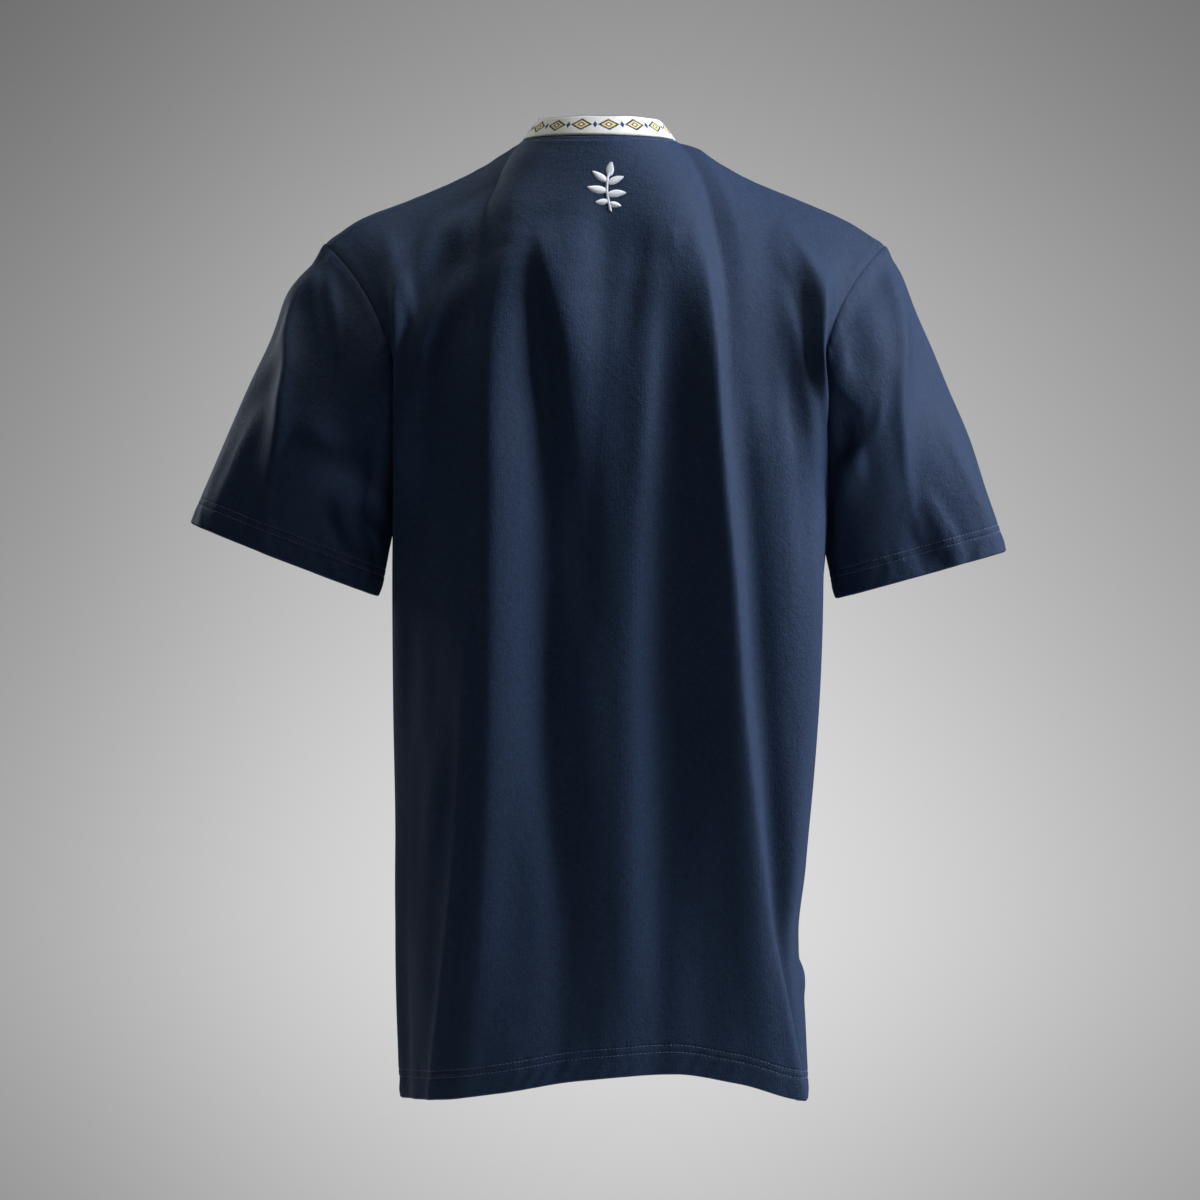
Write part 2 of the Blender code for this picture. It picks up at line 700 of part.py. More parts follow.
def share_normals(first, places, second, other_places):
    """Two pieces take one normal along their seam, so that their walls stay parallel there."""
    shared = unit(first.normals[places] + second.normals[other_places])
    first.normals[places] = shared
    second.normals[other_places] = shared


def join_seams(back, front, collar, sleeves):
    """Side seams, shoulder seams, neckline and armholes, in that order."""
    for column in (0, -1):
        share_normals(back, np.s_[:, column], front, np.s_[:, column])
    share_normals(back, SHOULDER_PLACES, front, SHOULDER_PLACES)
    share_normals(back, NECK_PLACES_BACK, collar, np.s_[: NECK_COLUMNS + 1])
    share_normals(front, NECK_PLACES_FRONT, collar, np.s_[NECK_COLUMNS + 1 :])
    for side, sleeve in zip(SIDES, sleeves):
        column = side_column(side)
        share_normals(back, np.s_[: YOKE_ROWS + 1, column], sleeve, np.s_[0, : YOKE_ROWS + 1])
        share_normals(
            front, np.s_[YOKE_ROWS - 1 : 0 : -1, column], sleeve, np.s_[0, YOKE_ROWS + 1 :]
        )
    corners = (np.array([0, 0, 0, 0, YOKE_ROWS, YOKE_ROWS]), np.array(CORNER_COLUMNS))
    front.normals[corners] = back.normals[corners]


def cloth_material(name, colour, roughness):
    material = bpy.data.materials.new(name)
    material.use_nodes = True
    shader = material.node_tree.nodes["Principled BSDF"]
    shader.inputs["Base Color"].default_value = (*colour, 1)
    shader.inputs["Roughness"].default_value = roughness
    shader.inputs["Metallic"].default_value = 0
    material.diffuse_color = (*colour, 1)
    return material


def add_piece(piece, material, collection):
    mesh = piece.mesh()
    mesh.materials.append(material)
    mesh.shade_smooth()
    collection.objects.link(bpy.data.objects.new(piece.name, mesh))


def main():
    for thing in list(bpy.data.objects):
        bpy.data.objects.remove(thing)
    collection = bpy.data.collections.new("crew_neck_t_shirt")
    bpy.context.scene.collection.children.link(collection)
    navy = cloth_material("navy_jersey", (0.012, 0.022, 0.060), 0.9)
    cream = cloth_material("cream_jacquard", (0.78, 0.74, 0.62), 0.85)

    back_points = panel_outer(BACK, BACK_FOLDS, COLUMNS, YOKE_ROWS, SKIRT_ROWS)
    front_points = panel_outer(FRONT, FRONT_FOLDS, COLUMNS, YOKE_ROWS, SKIRT_ROWS)
    back = Piece("back_panel", back_points, BACK, closed=False)
    front = Piece("front_panel", front_points, FRONT, closed=False)
    collar = Collar(neck_ring(back_points, front_points))
    sleeves = []
    for side in SIDES:
        ring = armhole_ring(side, back_points, front_points, YOKE_ROWS)
        points = sleeve_outer(side, ring, SLEEVE_ROWS)
        sleeves.append(Piece(side.name, points, -side.sign, closed=True))
    join_seams(back, front, collar, sleeves)
    for piece in (back, front, *sleeves):
        add_piece(piece, navy, collection)
    add_piece(collar, cream, collection)


main()
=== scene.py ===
"""A crew neck T-shirt in navy cotton jersey, with a cream jacquard collar band.

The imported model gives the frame. Each piece of cloth is a thin shell on its solid's own form,
worked out again on a finer grid with smaller creases, seams and turned hems. The stitching and the
embroidered sprig are made from the cloth's own points.

Metres. +X is the wearer's left, +Y the wearer's back and +Z is up.
"""

import logging
import math
from dataclasses import dataclass, field
from enum import Enum

import bpy
import numpy as np
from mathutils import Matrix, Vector
from mathutils.bvhtree import BVHTree


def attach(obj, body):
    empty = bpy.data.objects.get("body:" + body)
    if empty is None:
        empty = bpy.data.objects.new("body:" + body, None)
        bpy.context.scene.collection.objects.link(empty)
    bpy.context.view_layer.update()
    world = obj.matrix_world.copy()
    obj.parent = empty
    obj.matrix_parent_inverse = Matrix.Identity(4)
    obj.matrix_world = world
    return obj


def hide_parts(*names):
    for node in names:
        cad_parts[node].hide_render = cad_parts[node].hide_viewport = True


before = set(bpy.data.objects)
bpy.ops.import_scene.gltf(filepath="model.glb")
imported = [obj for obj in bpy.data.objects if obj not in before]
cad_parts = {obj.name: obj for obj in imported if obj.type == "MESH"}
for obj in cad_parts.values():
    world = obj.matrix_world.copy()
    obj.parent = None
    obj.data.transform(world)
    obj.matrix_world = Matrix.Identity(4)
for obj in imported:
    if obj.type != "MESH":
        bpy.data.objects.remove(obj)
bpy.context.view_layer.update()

log = logging.getLogger("t_shirt")

Array = np.ndarray
Colour = tuple[float, float, float]
Pair = tuple[float, float]

MM = 0.001
SAME_PLACE = 1e-6  # points nearer than this, in metres, are one point
WEAVE = "weave"  # the UV map, in metres along and across the knit


class Face(Enum):
    """Which side of the wearer a panel covers. The value is the sign of Y."""

    BACK = 1
    FRONT = -1


class Hand(Enum):
    """The wearer's left or right. The value is the sign of X."""

    LEFT = 1
    RIGHT = -1


# ---- curves and grids


def smooth_through(knots: Array, values: Array, at: Array) -> Array:
    """A cubic through the knots that never overshoots them, and level beyond both ends.

    Args:
        knots: where the values are given, rising or falling.
        values: the values there.
        at: where the cubic is wanted.

    Returns:
        The cubic's values at those places.
    """
    knots, values = np.asarray(knots, float), np.asarray(values, float)
    if knots[0] > knots[-1]:
        knots, values = knots[::-1], values[::-1]
    steps, rises = np.diff(knots), np.diff(values)
    slopes = rises / steps
    tangents = np.zeros(len(knots))
    tangents[0], tangents[-1] = slopes[0], slopes[-1]
    turning = slopes[:-1] * slopes[1:] <= 0
    mean = 2 * slopes[:-1] * slopes[1:] / np.where(turning, 1, slopes[:-1] + slopes[1:])
    tangents[1:-1] = np.where(turning, 0, mean)
    at = np.clip(at, knots[0], knots[-1])
    cell = np.clip(np.searchsorted(knots, at, side="right") - 1, 0, len(steps) - 1)
    t = (at - knots[cell]) / steps[cell]
    leaving, arriving = tangents[cell] * steps[cell], tangents[cell + 1] * steps[cell]
    return hermite(values[cell], values[cell + 1], leaving, arriving, t)


def hermite(start: Array, end: Array, leaving: Array, arriving: Array, t: Array) -> Array:
    """The cubic from start to end with these tangents.

    Args:
        start: its value at 0.
        end: its value at 1.
        leaving: its slope at 0.
        arriving: its slope at 1.
        t: places from 0 to 1.

    Returns:
        The cubic's values at those places.
    """
    return (
        start * (2 * t**3 - 3 * t**2 + 1)
        + leaving * (t**3 - 2 * t**2 + t)
        + end * (3 * t**2 - 2 * t**3)
        + arriving * (t**3 - t**2)
    )


def ramp(t: Array) -> Array:
    """0 to 1, level at both ends."""
    t = np.clip(t, 0, 1)
    return t * t * (3 - 2 * t)


def bell(distance: Array, width: float) -> Array:
    """1 at no distance, falling away over the width."""
    return np.exp(-((distance / width) ** 2))


def unit(vectors: Array) -> Array:
    """Vectors of length one."""
    return vectors / np.linalg.norm(vectors, axis=-1, keepdims=True)


def spaced(length: float, step: float, near: tuple = (0,), far: tuple = (0,)) -> Array:
    """Places from 0 to a length, given near its ends and evenly apart between them.

    Args:
        length: the whole length.
        step: the wish for the even spacing.
        near: distances from the start, rising from 0.
        far: distances from the end, rising from 0.

    Returns:
        The places, rising.
    """
    last = length - np.array(far[::-1], float)
    count = max(1, round((last[0] - near[-1]) / step))
    middle = np.linspace(near[-1], last[0], count + 1)
    return np.concatenate([np.array(near[:-1], float), middle, last[1:]])


def uneven(at: Array, seed: int, lengths: Pair, waves: int = 7) -> Array:
    """An uneven wave along a line, from about -1 to 1.

    Args:
        at: places along the line.
        seed: which wave it is.
        lengths: the shortest and longest wave in it, in the units of the places.
        waves: how many waves make it.

    Returns:
        The wave's height at each place.
    """
    draw = np.random.default_rng(seed)
    total = np.zeros_like(np.asarray(at, float))
    for _ in range(waves):
        length, phase = draw.uniform(*lengths), draw.uniform(0, 2 * math.pi)
        total += np.sin(at / length * 2 * math.pi + phase)
    return total / math.sqrt(waves)


def swells(places: Array, seed: int, across: tuple, along: tuple, waves: int = 9) -> Array:
    """Slow uneven swells over a cloth, from about -1 to 1.

    Args:
        places: (..., 2) in millimetres, across and along the cloth.
        seed: which swells they are.
        across: the shortest and longest wave across the cloth.
        along: the shortest and longest wave along it.
        waves: how many waves make them.

    Returns:
        The height at each place.
    """
    draw = np.random.default_rng(seed)
    total = np.zeros(places.shape[:-1])
    for _ in range(waves):
        turns = places[..., 0] / draw.uniform(*across) + places[..., 1] / (
            draw.uniform(*along) * draw.choice([-1, 1])
        )
        total += np.sin(turns * 2 * math.pi + draw.uniform(0, 2 * math.pi))
    return total / math.sqrt(waves)


@dataclass(frozen=True)
class Fold:
    """A soft ridge, or a trough where the rise is negative, drawn on a piece laid flat.

    A place on a panel is (millimetres from its middle towards the wearer's left, height), and on a
    sleeve it is (degrees round it from the top by the back, millimetres down from the armhole).
    """

    path: tuple[Pair, ...]
    rise: tuple[float, ...]  # millimetres, at each place
    spread: Pair  # millimetres, left and right of somebody following the path
    roundness: float = 2.0  # 2 is round, and less is a sharper crest
    softness: float = 0.25  # rounds the crest, as a share of its spread

    SAMPLES = 33  # places along the smoothed path
    REACH = 3.2  # how many spreads away the fold is nothing

    def relief(self, places: Array, stretch: Pair) -> Array:
        """How far the fold stands out.

        Args:
            places: (..., 2) in the piece's own chart.
            stretch: turns the chart into millimetres.

        Returns:
            Millimetres at each place.
        """
        knots = np.linspace(0, 1, len(self.path))
        shares = np.linspace(0, 1, self.SAMPLES)
        path = np.array(self.path, float) * stretch
        line = np.stack([smooth_through(knots, path[:, a], shares) for a in (0, 1)], axis=1)
        where = places * stretch
        margin = self.REACH * max(self.spread)
        low, high = line.min(axis=0) - margin, line.max(axis=0) + margin
        close = np.all((where > low) & (where < high), axis=-1)
        near = where[close]
        best = np.full(len(near), np.inf)
        signed, share = np.zeros_like(best), np.zeros_like(best)
        for k in range(self.SAMPLES - 1):
            run, offset = line[k + 1] - line[k], near - line[k]
            along = np.clip(offset @ run / (run @ run), 0, 1)
            away = offset - along[:, None] * run
            distance = np.hypot(away[:, 0], away[:, 1])
            nearer = distance < best
            best = np.where(nearer, distance, best)
            side = np.sign(run[0] * away[:, 1] - run[1] * away[:, 0])
            signed = np.where(nearer, distance * side, signed)
            share = np.where(nearer, (k + along) / (self.SAMPLES - 1), share)
        reach = np.where(signed > 0, self.spread[0], self.spread[1])
        softened = np.sqrt((best / reach) ** 2 + self.softness**2) - self.softness
        total = np.zeros(where.shape[:-1])
        total[close] = smooth_through(knots, np.array(self.rise, float), share) * np.exp(
            -(softened**self.roundness)
        )
        return total


def relief(folds: tuple[Fold, ...], places: Array, stretch: Pair) -> Array:
    """How far all the folds stand out together, in millimetres."""
    return sum((fold.relief(places, stretch) for fold in folds), np.zeros(places.shape[:-1]))


# ---- meshes


def signed_volume(points: Array, faces: list[Array]) -> float:
    """Measures the inside of a closed mesh.

    Args:
        points: (n, 3).
        faces: rows of point numbers.

    Returns:
        Six times the volume, which is below 0 where the faces point inwards.
    """
    return sum(
        np.sum(np.cross(points[block[:, k]], points[block[:, k + 1]]) * points[block[:, 0]])
        for block in faces
        for k in range(1, block.shape[1] - 1)
    )


def make_object(name: str, points: Array, faces: list[Array], weave: Array) -> bpy.types.Object:
    """A smooth mesh object at the origin, with its faces pointing outwards.

    Args:
        name: the piece's name.
        points: (n, 3) in metres.
        faces: rows of point numbers, as arrays of quads and triangles.
        weave: (n, 2), each point's place on the knit or thread in metres.

    Returns:
        The object, linked to the scene.
    """
    if signed_volume(points, faces) < 0:
        faces = [block[:, ::-1] for block in faces]
    sizes = np.concatenate([np.full(len(block), block.shape[1]) for block in faces])
    corners = np.concatenate([block.ravel() for block in faces]).astype(np.int32)
    starts = np.concatenate([[0], np.cumsum(sizes)[:-1]])
    mesh = bpy.data.meshes.new(name)
    mesh.vertices.add(len(points))
    mesh.vertices.foreach_set("co", points.astype(np.float32).ravel())
    mesh.loops.add(len(corners))
    mesh.loops.foreach_set("vertex_index", corners)
    mesh.polygons.add(len(sizes))
    mesh.polygons.foreach_set("loop_start", starts.astype(np.int32))
    mesh.update(calc_edges=True)
    layer = mesh.uv_layers.new(name=WEAVE)
    layer.data.foreach_set("uv", weave[corners].astype(np.float32).ravel())
    mesh.validate()
    mesh.shade_smooth()
    thing = bpy.data.objects.new(name, mesh)
    bpy.context.scene.collection.objects.link(thing)
    return thing


def wrapped_grid(lines: Array) -> tuple[Array, Array]:
    """Numbers the points of a grid whose last row joins its first, and lists its quads.

    Args:
        lines: (rows, columns, 3).

    Returns:
        The numbers, (rows, columns), and the quads, (n, 4).
    """
    number = np.arange(lines.shape[0] * lines.shape[1]).reshape(lines.shape[:2])
    after = np.roll(number, -1, axis=0)
    quads = np.stack([number[:, :-1], number[:, 1:], after[:, 1:], after[:, :-1]], axis=2)
    return number, quads.reshape(-1, 4)


def make_tube(name: str, lines: Array, weave: Array) -> bpy.types.Object:
    """Makes a closed wall that goes all the way round.

    Args:
        name: the piece's name.
        lines: (rows, columns, 3), whose last column of points is the first one again.
        weave: (rows, columns, 2), which runs past the first column.

    Returns:
        The object, with its two end columns merged and each corner's own place on the knit kept.
    """
    thing = make_object(name, lines.reshape(-1, 3), [wrapped_grid(lines)[1]], weave.reshape(-1, 2))
    bpy.ops.object.select_all(action="DESELECT")
    bpy.context.view_layer.objects.active = thing
    thing.select_set(True)
    bpy.ops.object.mode_set(mode="EDIT")
    bpy.ops.mesh.select_all(action="SELECT")
    bpy.ops.mesh.remove_doubles(threshold=SAME_PLACE)
    bpy.ops.object.mode_set(mode="OBJECT")
    thing.select_set(False)
    thing.data.shade_smooth()
    return thing


class Cloth:
    """A grid of points on a cloth's outer face, rows from the top down, and what lies on it."""

    EDGE_DROP = 0.35  # how far a hem's edge hangs below its faces, as a share of the wall

    def __init__(self, points: Array, weave: Array, outward: int, closed: bool) -> None:
        """Takes the face and works out its normals.

        Args:
            points: (rows, columns, 3).
            weave: (rows, columns, 2), the places on the knit in metres.
            outward: 1 or -1, which way the grid's own normal has to turn.
            closed: whether the columns go all the way round.
        """
        self.points, self.weave, self.outward, self.closed = points, weave, outward, closed
        self.normals = self.fresh_normals()

    def fresh_normals(self) -> Array:
        """Works the normals out from the points as they stand.

        Returns:
            (rows, columns, 3), each of length one.
        """
        if self.closed:
            wide = np.concatenate([self.points[:, -1:], self.points, self.points[:, :1]], axis=1)
            along = np.gradient(wide, axis=1)[:, 1:-1]
        else:
            along = np.gradient(self.points, axis=1)
        return unit(np.cross(along, np.gradient(self.points, axis=0)) * self.outward)

    def smooth_normals(self, rounds: int, hold_edges: bool = False) -> None:
        """Evens the normals out.

        Args:
            rounds: how many times.
            hold_edges: whether the normals along the seams stay as they are.
        """
        n = self.normals
        for _ in range(rounds):
            if hold_edges:
                before = n.copy()
            n[1:-1] = (n[:-2] + 2 * n[1:-1] + n[2:]) / 4
            if self.closed:
                n = (np.roll(n, 1, axis=1) + 2 * n + np.roll(n, -1, axis=1)) / 4
            else:
                n[:, 1:-1] = (n[:, :-2] + 2 * n[:, 1:-1] + n[:, 2:]) / 4
            if hold_edges:
                n[0], n[-1] = before[0], before[-1]
                if not self.closed:
                    n[:, 0], n[:, -1] = before[:, 0], before[:, -1]
            n = unit(n)
        self.normals = n

    def raise_by(self, millimetres: Array) -> None:
        """Moves each point out along its normal."""
        self.points = self.points + self.normals * (millimetres * MM)[:, :, None]

    def from_top(self) -> Array:
        """Millimetres along the cloth from its upper edge."""
        return self.run(self.points)

    def from_hem(self) -> Array:
        """Millimetres along the cloth from its hem."""
        return self.run(self.points[::-1])[::-1]

    def from_sides(self) -> Array:
        """Measures across the cloth from the nearer of its two sides.

        Returns:
            (rows, columns) in millimetres.
        """
        turned = self.points.transpose(1, 0, 2)
        from_first, from_last = self.run(turned).T, self.run(turned[::-1])[::-1].T
        return np.minimum(from_first, from_last)

    @staticmethod
    def run(points: Array) -> Array:
        """Millimetres walked down each column of points."""
        steps = np.linalg.norm(np.diff(points, axis=0), axis=2) / MM
        return np.concatenate([np.zeros((1, points.shape[1])), np.cumsum(steps, axis=0)])

    def contour(self, distance: Array, value: float) -> tuple[Array, Array]:
        """The line on the cloth where a distance that rises down the columns has a value.

        Args:
            distance: (rows, columns), rising or falling down each column.
            value: the value looked for.

        Returns:
            The points and normals, one of each for every column.
        """
        rows = np.arange(len(distance))
        turn = 1 if distance[-1, 0] > distance[0, 0] else -1
        points, normals = [], []
        for column in range(distance.shape[1]):
            place = np.interp(value, distance[::turn, column], rows[::turn])
            above = min(int(place), len(rows) - 2)
            share = place - above
            for grid, found in ((self.points, points), (self.normals, normals)):
                found.append(grid[above, column] * (1 - share) + grid[above + 1, column] * share)
        return np.array(points), unit(np.array(normals))

    def drawn_back(self, gap: float) -> Array:
        """Moves the points along the seams.

        Args:
            gap: the seam gap, of which each piece gives half, in metres.

        Returns:
            The points, (rows, columns, 3).
        """
        grid, moved = self.points, self.points.copy()
        moved[0] += self.step_in(grid[0], grid[1]) * gap / 2
        if not self.closed:
            moved[:, 0] += self.step_in(grid[:, 0], grid[:, 1]) * gap / 2
            moved[:, -1] += self.step_in(grid[:, -1], grid[:, -2]) * gap / 2
        return moved

    def step_in(self, edge: Array, inner: Array) -> Array:
        """Finds the way in from an edge.

        Args:
            edge: (n, 3), the edge.
            inner: (n, 3), the line of points beside it.

        Returns:
            Unit steps, square to the edge.
        """
        if self.closed:
            along = unit(np.roll(edge, -1, axis=0) - np.roll(edge, 1, axis=0))
        else:
            along = unit(np.gradient(edge, axis=0))
        step = inner - edge
        return unit(step - along * np.sum(step * along, axis=1, keepdims=True))

    def shell(self, name: str, thickness: Array, gap: float) -> bpy.types.Object:
        """The cloth as a closed thin wall with a rounded hem edge.

        Args:
            name: the piece's name.
            thickness: (rows, columns) in millimetres.
            gap: the seam gap in metres.

        Returns:
            The object.
        """
        outer = self.drawn_back(gap)
        inner = outer - self.normals * (thickness * MM)[:, :, None]
        hang = unit(outer[-1] - outer[-3]) * (thickness[-1] * MM * self.EDGE_DROP)[:, None]
        edge = (outer[-1] + inner[-1]) / 2 + hang
        lines = np.concatenate([outer, edge[None], inner[::-1]])
        weave = np.concatenate([self.weave, self.weave[-1:], self.weave[::-1]])
        if self.closed:
            weave = np.concatenate([weave, 2 * weave[:, -1:] - weave[:, -2:-1]], axis=1)
            return make_tube(name, np.concatenate([lines, lines[:, :1]], axis=1), weave)
        number, quads = wrapped_grid(lines)
        faces = [quads]
        rows = len(outer)
        inside = len(lines) - 1 - np.arange(rows)
        for column, turn in ((0, 1), (-1, -1)):
            out, back = number[:rows, column], number[inside, column]
            side = np.stack([out[:-1], out[1:], back[1:], back[:-1]], axis=1)
            tip = np.array([[out[-1], number[rows, column], back[-1]]])
            faces += [side[:, ::turn], tip[:, ::turn]]
        return make_object(name, lines.reshape(-1, 3), faces, weave.reshape(-1, 2))


# ---- shader writing


class Shade:
    """One value in a material's nodes. Arithmetic on it adds Math nodes."""

    def __init__(self, board: "Board", socket: bpy.types.NodeSocket) -> None:
        """Wraps an output socket on a board."""
        self.board, self.socket = board, socket

    def maths(self, operation: str, other: "Shade | float | None" = None) -> "Shade":
        """This value and perhaps another through one Math node."""
        values = {0: self} if other is None else {0: self, 1: other}
        return self.board.value("ShaderNodeMath", {"operation": operation}, values)

    def swapped(self, operation: str, other: float) -> "Shade":
        """A number first and this value second through one Math node."""
        return self.board.value("ShaderNodeMath", {"operation": operation}, {0: other, 1: self})

    def __add__(self, other: "Shade | float") -> "Shade":
        """Sum."""
        return self.maths("ADD", other)

    __radd__ = __add__

    def __mul__(self, other: "Shade | float") -> "Shade":
        """Product."""
        return self.maths("MULTIPLY", other)

    __rmul__ = __mul__

    def __sub__(self, other: "Shade | float") -> "Shade":
        """Difference."""
        return self.maths("SUBTRACT", other)

    def __rsub__(self, other: float) -> "Shade":
        """Difference from a number."""
        return self.swapped("SUBTRACT", other)

    def __truediv__(self, other: "Shade | float") -> "Shade":
        """Quotient."""
        return self.maths("DIVIDE", other)

    def __abs__(self) -> "Shade":
        """Size without sign."""
        return self.maths("ABSOLUTE")

    def below(self, limit: "Shade | float") -> "Shade":
        """1 where this value is below a limit, and 0 elsewhere."""
        return self.maths("LESS_THAN", limit)

    def above(self, limit: "Shade | float") -> "Shade":
        """1 where this value is above a limit, and 0 elsewhere."""
        return self.maths("GREATER_THAN", limit)

    def wave(self) -> "Shade":
        """0 to 1 and back for each step of one in this value."""
        return (self * (2 * math.pi)).maths("COSINE") * 0.5 + 0.5

    def from_middle(self) -> "Shade":
        """0 in the middle of each step of one in this value, and 1 at its ends."""
        return abs(self.maths("FRACT") - 0.5) * 2


class Board:
    """A material or world, and the nodes on it."""

    def __init__(self, owner: "bpy.types.Material | bpy.types.World") -> None:
        """Starts with the nodes that a new material or world has.

        Args:
            owner: the material or world.
        """
        self.owner = owner
        self.owner.use_nodes = True
        self.tree = self.owner.node_tree

    @classmethod
    def material(cls, name: str) -> "Board":
        """The board of a new material."""
        return cls(bpy.data.materials.new(name))

    def node(self, kind: str, settings: dict, inputs: dict) -> bpy.types.Node:
        """Adds any node.

        Args:
            kind: the node's type.
            settings: its own properties, set first. The stops of a ramp are (place, grey) pairs.
            inputs: a number, colour or Shade for each socket, by name or place.

        Returns:
            The node.
        """
        node = self.tree.nodes.new(kind)
        for key, value in settings.items():
            if key == "stops":
                stops = node.color_ramp.elements
                node.color_ramp.interpolation = "B_SPLINE"
                for place, _ in value[2:]:
                    stops.new(place)
                for stop, (place, grey) in zip(stops, value):
                    stop.position, stop.color = place, (grey, grey, grey, 1)
            else:
                setattr(node, key, value)
        for key, value in inputs.items():
            self.feed(node, key, value)
        return node

    def feed(self, node: bpy.types.Node, key: "str | int", value: "Shade | float | tuple") -> None:
        """Sets or links one socket of a node.

        Args:
            node: the node.
            key: the socket's name or place.
            value: a number, colour or Shade.
        """
        if isinstance(value, Shade):
            self.tree.links.new(value.socket, node.inputs[key])
        elif isinstance(value, tuple) and len(value) == 3 and node.inputs[key].type == "RGBA":
            node.inputs[key].default_value = (*value, 1)
        else:
            node.inputs[key].default_value = value

    def value(self, kind: str, settings: dict, inputs: dict, output: "int | str" = 0) -> Shade:
        """Adds any node and wraps one of its outputs."""
        return Shade(self, self.node(kind, settings, inputs).outputs[output])

    def blend(self, share: Shade, first: "Shade | tuple", second: "Shade | tuple") -> Shade:
        """A mix of two colours."""
        made = {0: share, 6: first, 7: second}
        return self.value("ShaderNodeMix", {"data_type": "RGBA"}, made, 2)

    def weave(self) -> tuple[Shade, Shade]:
        """Reads the place on the knit or thread.

        Returns:
            Across it and along it, in metres.
        """
        place = self.value("ShaderNodeUVMap", {"uv_map": WEAVE}, {})
        parts = self.node("ShaderNodeSeparateXYZ", {}, {0: place})
        return Shade(self, parts.outputs[0]), Shade(self, parts.outputs[1])

    def knit(self, wale: float, course: float, wander: "Shade | float" = 0.0) -> Shade:
        """The face of a plain knit, from 0 in its gaps to 1 on its stitches.

        Args:
            wale: the width of a column of stitches, in metres.
            course: the height of a stitch.
            wander: how far the stitches stray, as a share of one.

        Returns:
            The height.
        """
        across, along = self.weave()
        edge = (across / wale + wander).from_middle()
        legs = (along / course + edge * 0.5 + wander).wave()
        return (1 - edge * edge) * 0.6 + legs * 0.4

    def noise(self, size: float, detail: float, roughness: float = 0.5) -> Shade:
        """Noise in the piece's own space, from 0 to 1.

        Args:
            size: how large its spots are, in metres.
            detail: how many finer layers it has.
            roughness: how strong they are.

        Returns:
            The noise.
        """
        place = self.value("ShaderNodeTexCoord", {}, {}, "Object")
        sockets = {"Vector": place, "Scale": 1 / size, "Detail": detail, "Roughness": roughness}
        return self.value("ShaderNodeTexNoise", {}, sockets, 0)

    def finish(self, height: Shade, sockets: dict) -> bpy.types.Material:
        """Sets the shader.

        Args:
            height: the surface's relief in metres, for its normal.
            sockets: the shader's other sockets, by name.

        Returns:
            The material.
        """
        normal = self.value("ShaderNodeBump", {}, {"Height": height, "Strength": 1.0, "Distance": 1.0})
        for key, value in {**sockets, "Normal": normal}.items():
            self.feed(self.tree.nodes["Principled BSDF"], key, value)
        return self.owner


# ---- finishes


@dataclass(frozen=True)
class Jersey:
    """Heavy single jersey: columns of small Vs, a dry face with a soft bloom."""

    name: str = "navy_jersey"
    deep: Colour = (0.0057, 0.0130, 0.0265)
    light: Colour = (0.0225, 0.0440, 0.0915)
    wale: float = 1.05 * MM
    course: float = 0.80 * MM
    wander_size: float = 6 * MM
    grain_size: float = 1.6 * MM
    mottle_size: float = 5 * MM
    cloud_size: float = 70 * MM
    wander: float = 0.25  # how far the stitches stray, as a share of one
    knit_gap_shade: float = 0.18  # how much of the light colour each one brings; the knit's share is painted shade, darker in the gaps between stitches
    grain_share: float = 1.20
    mottle_share: float = 0.40
    cloud_share: float = 0.14
    darkening: float = 0.465
    knit_relief: float = 0.10 * MM
    grain_relief: float = 0.40 * MM
    mottle_relief: float = 0.45 * MM
    bloom: float = 0.05
    bloom_tint: Colour = (0.42, 0.55, 0.86)

    def material(self) -> bpy.types.Material:
        """Makes the finish.

        Returns:
            The material.
        """
        board = Board.material(self.name)
        stray = board.noise(self.wander_size, 2) * self.wander
        knit = board.knit(self.wale, self.course, stray)
        grain = board.noise(self.grain_size, 4, 0.65)
        mottle = board.noise(self.mottle_size, 3, 0.6)
        cloudy = board.noise(self.cloud_size, 2)
        # the knit's share paints shade into the gaps between stitches; grain, mottle and cloud are
        # random tone
        fine = knit * self.knit_gap_shade + grain * self.grain_share
        share = fine + mottle * self.mottle_share + cloudy * self.cloud_share - self.darkening
        colour = board.blend(share.maths("MINIMUM", 1.0), self.deep, self.light)
        height = knit * self.knit_relief + grain * self.grain_relief
        height = height + mottle * self.mottle_relief
        sockets = {
            "Base Color": colour,
            "Roughness": 0.72 - knit * 0.12,
            "Specular IOR Level": 0.15,
            "Sheen Weight": self.bloom,
            "Sheen Roughness": 0.42,
            "Sheen Tint": self.bloom_tint,
        }
        return board.finish(height, sockets)


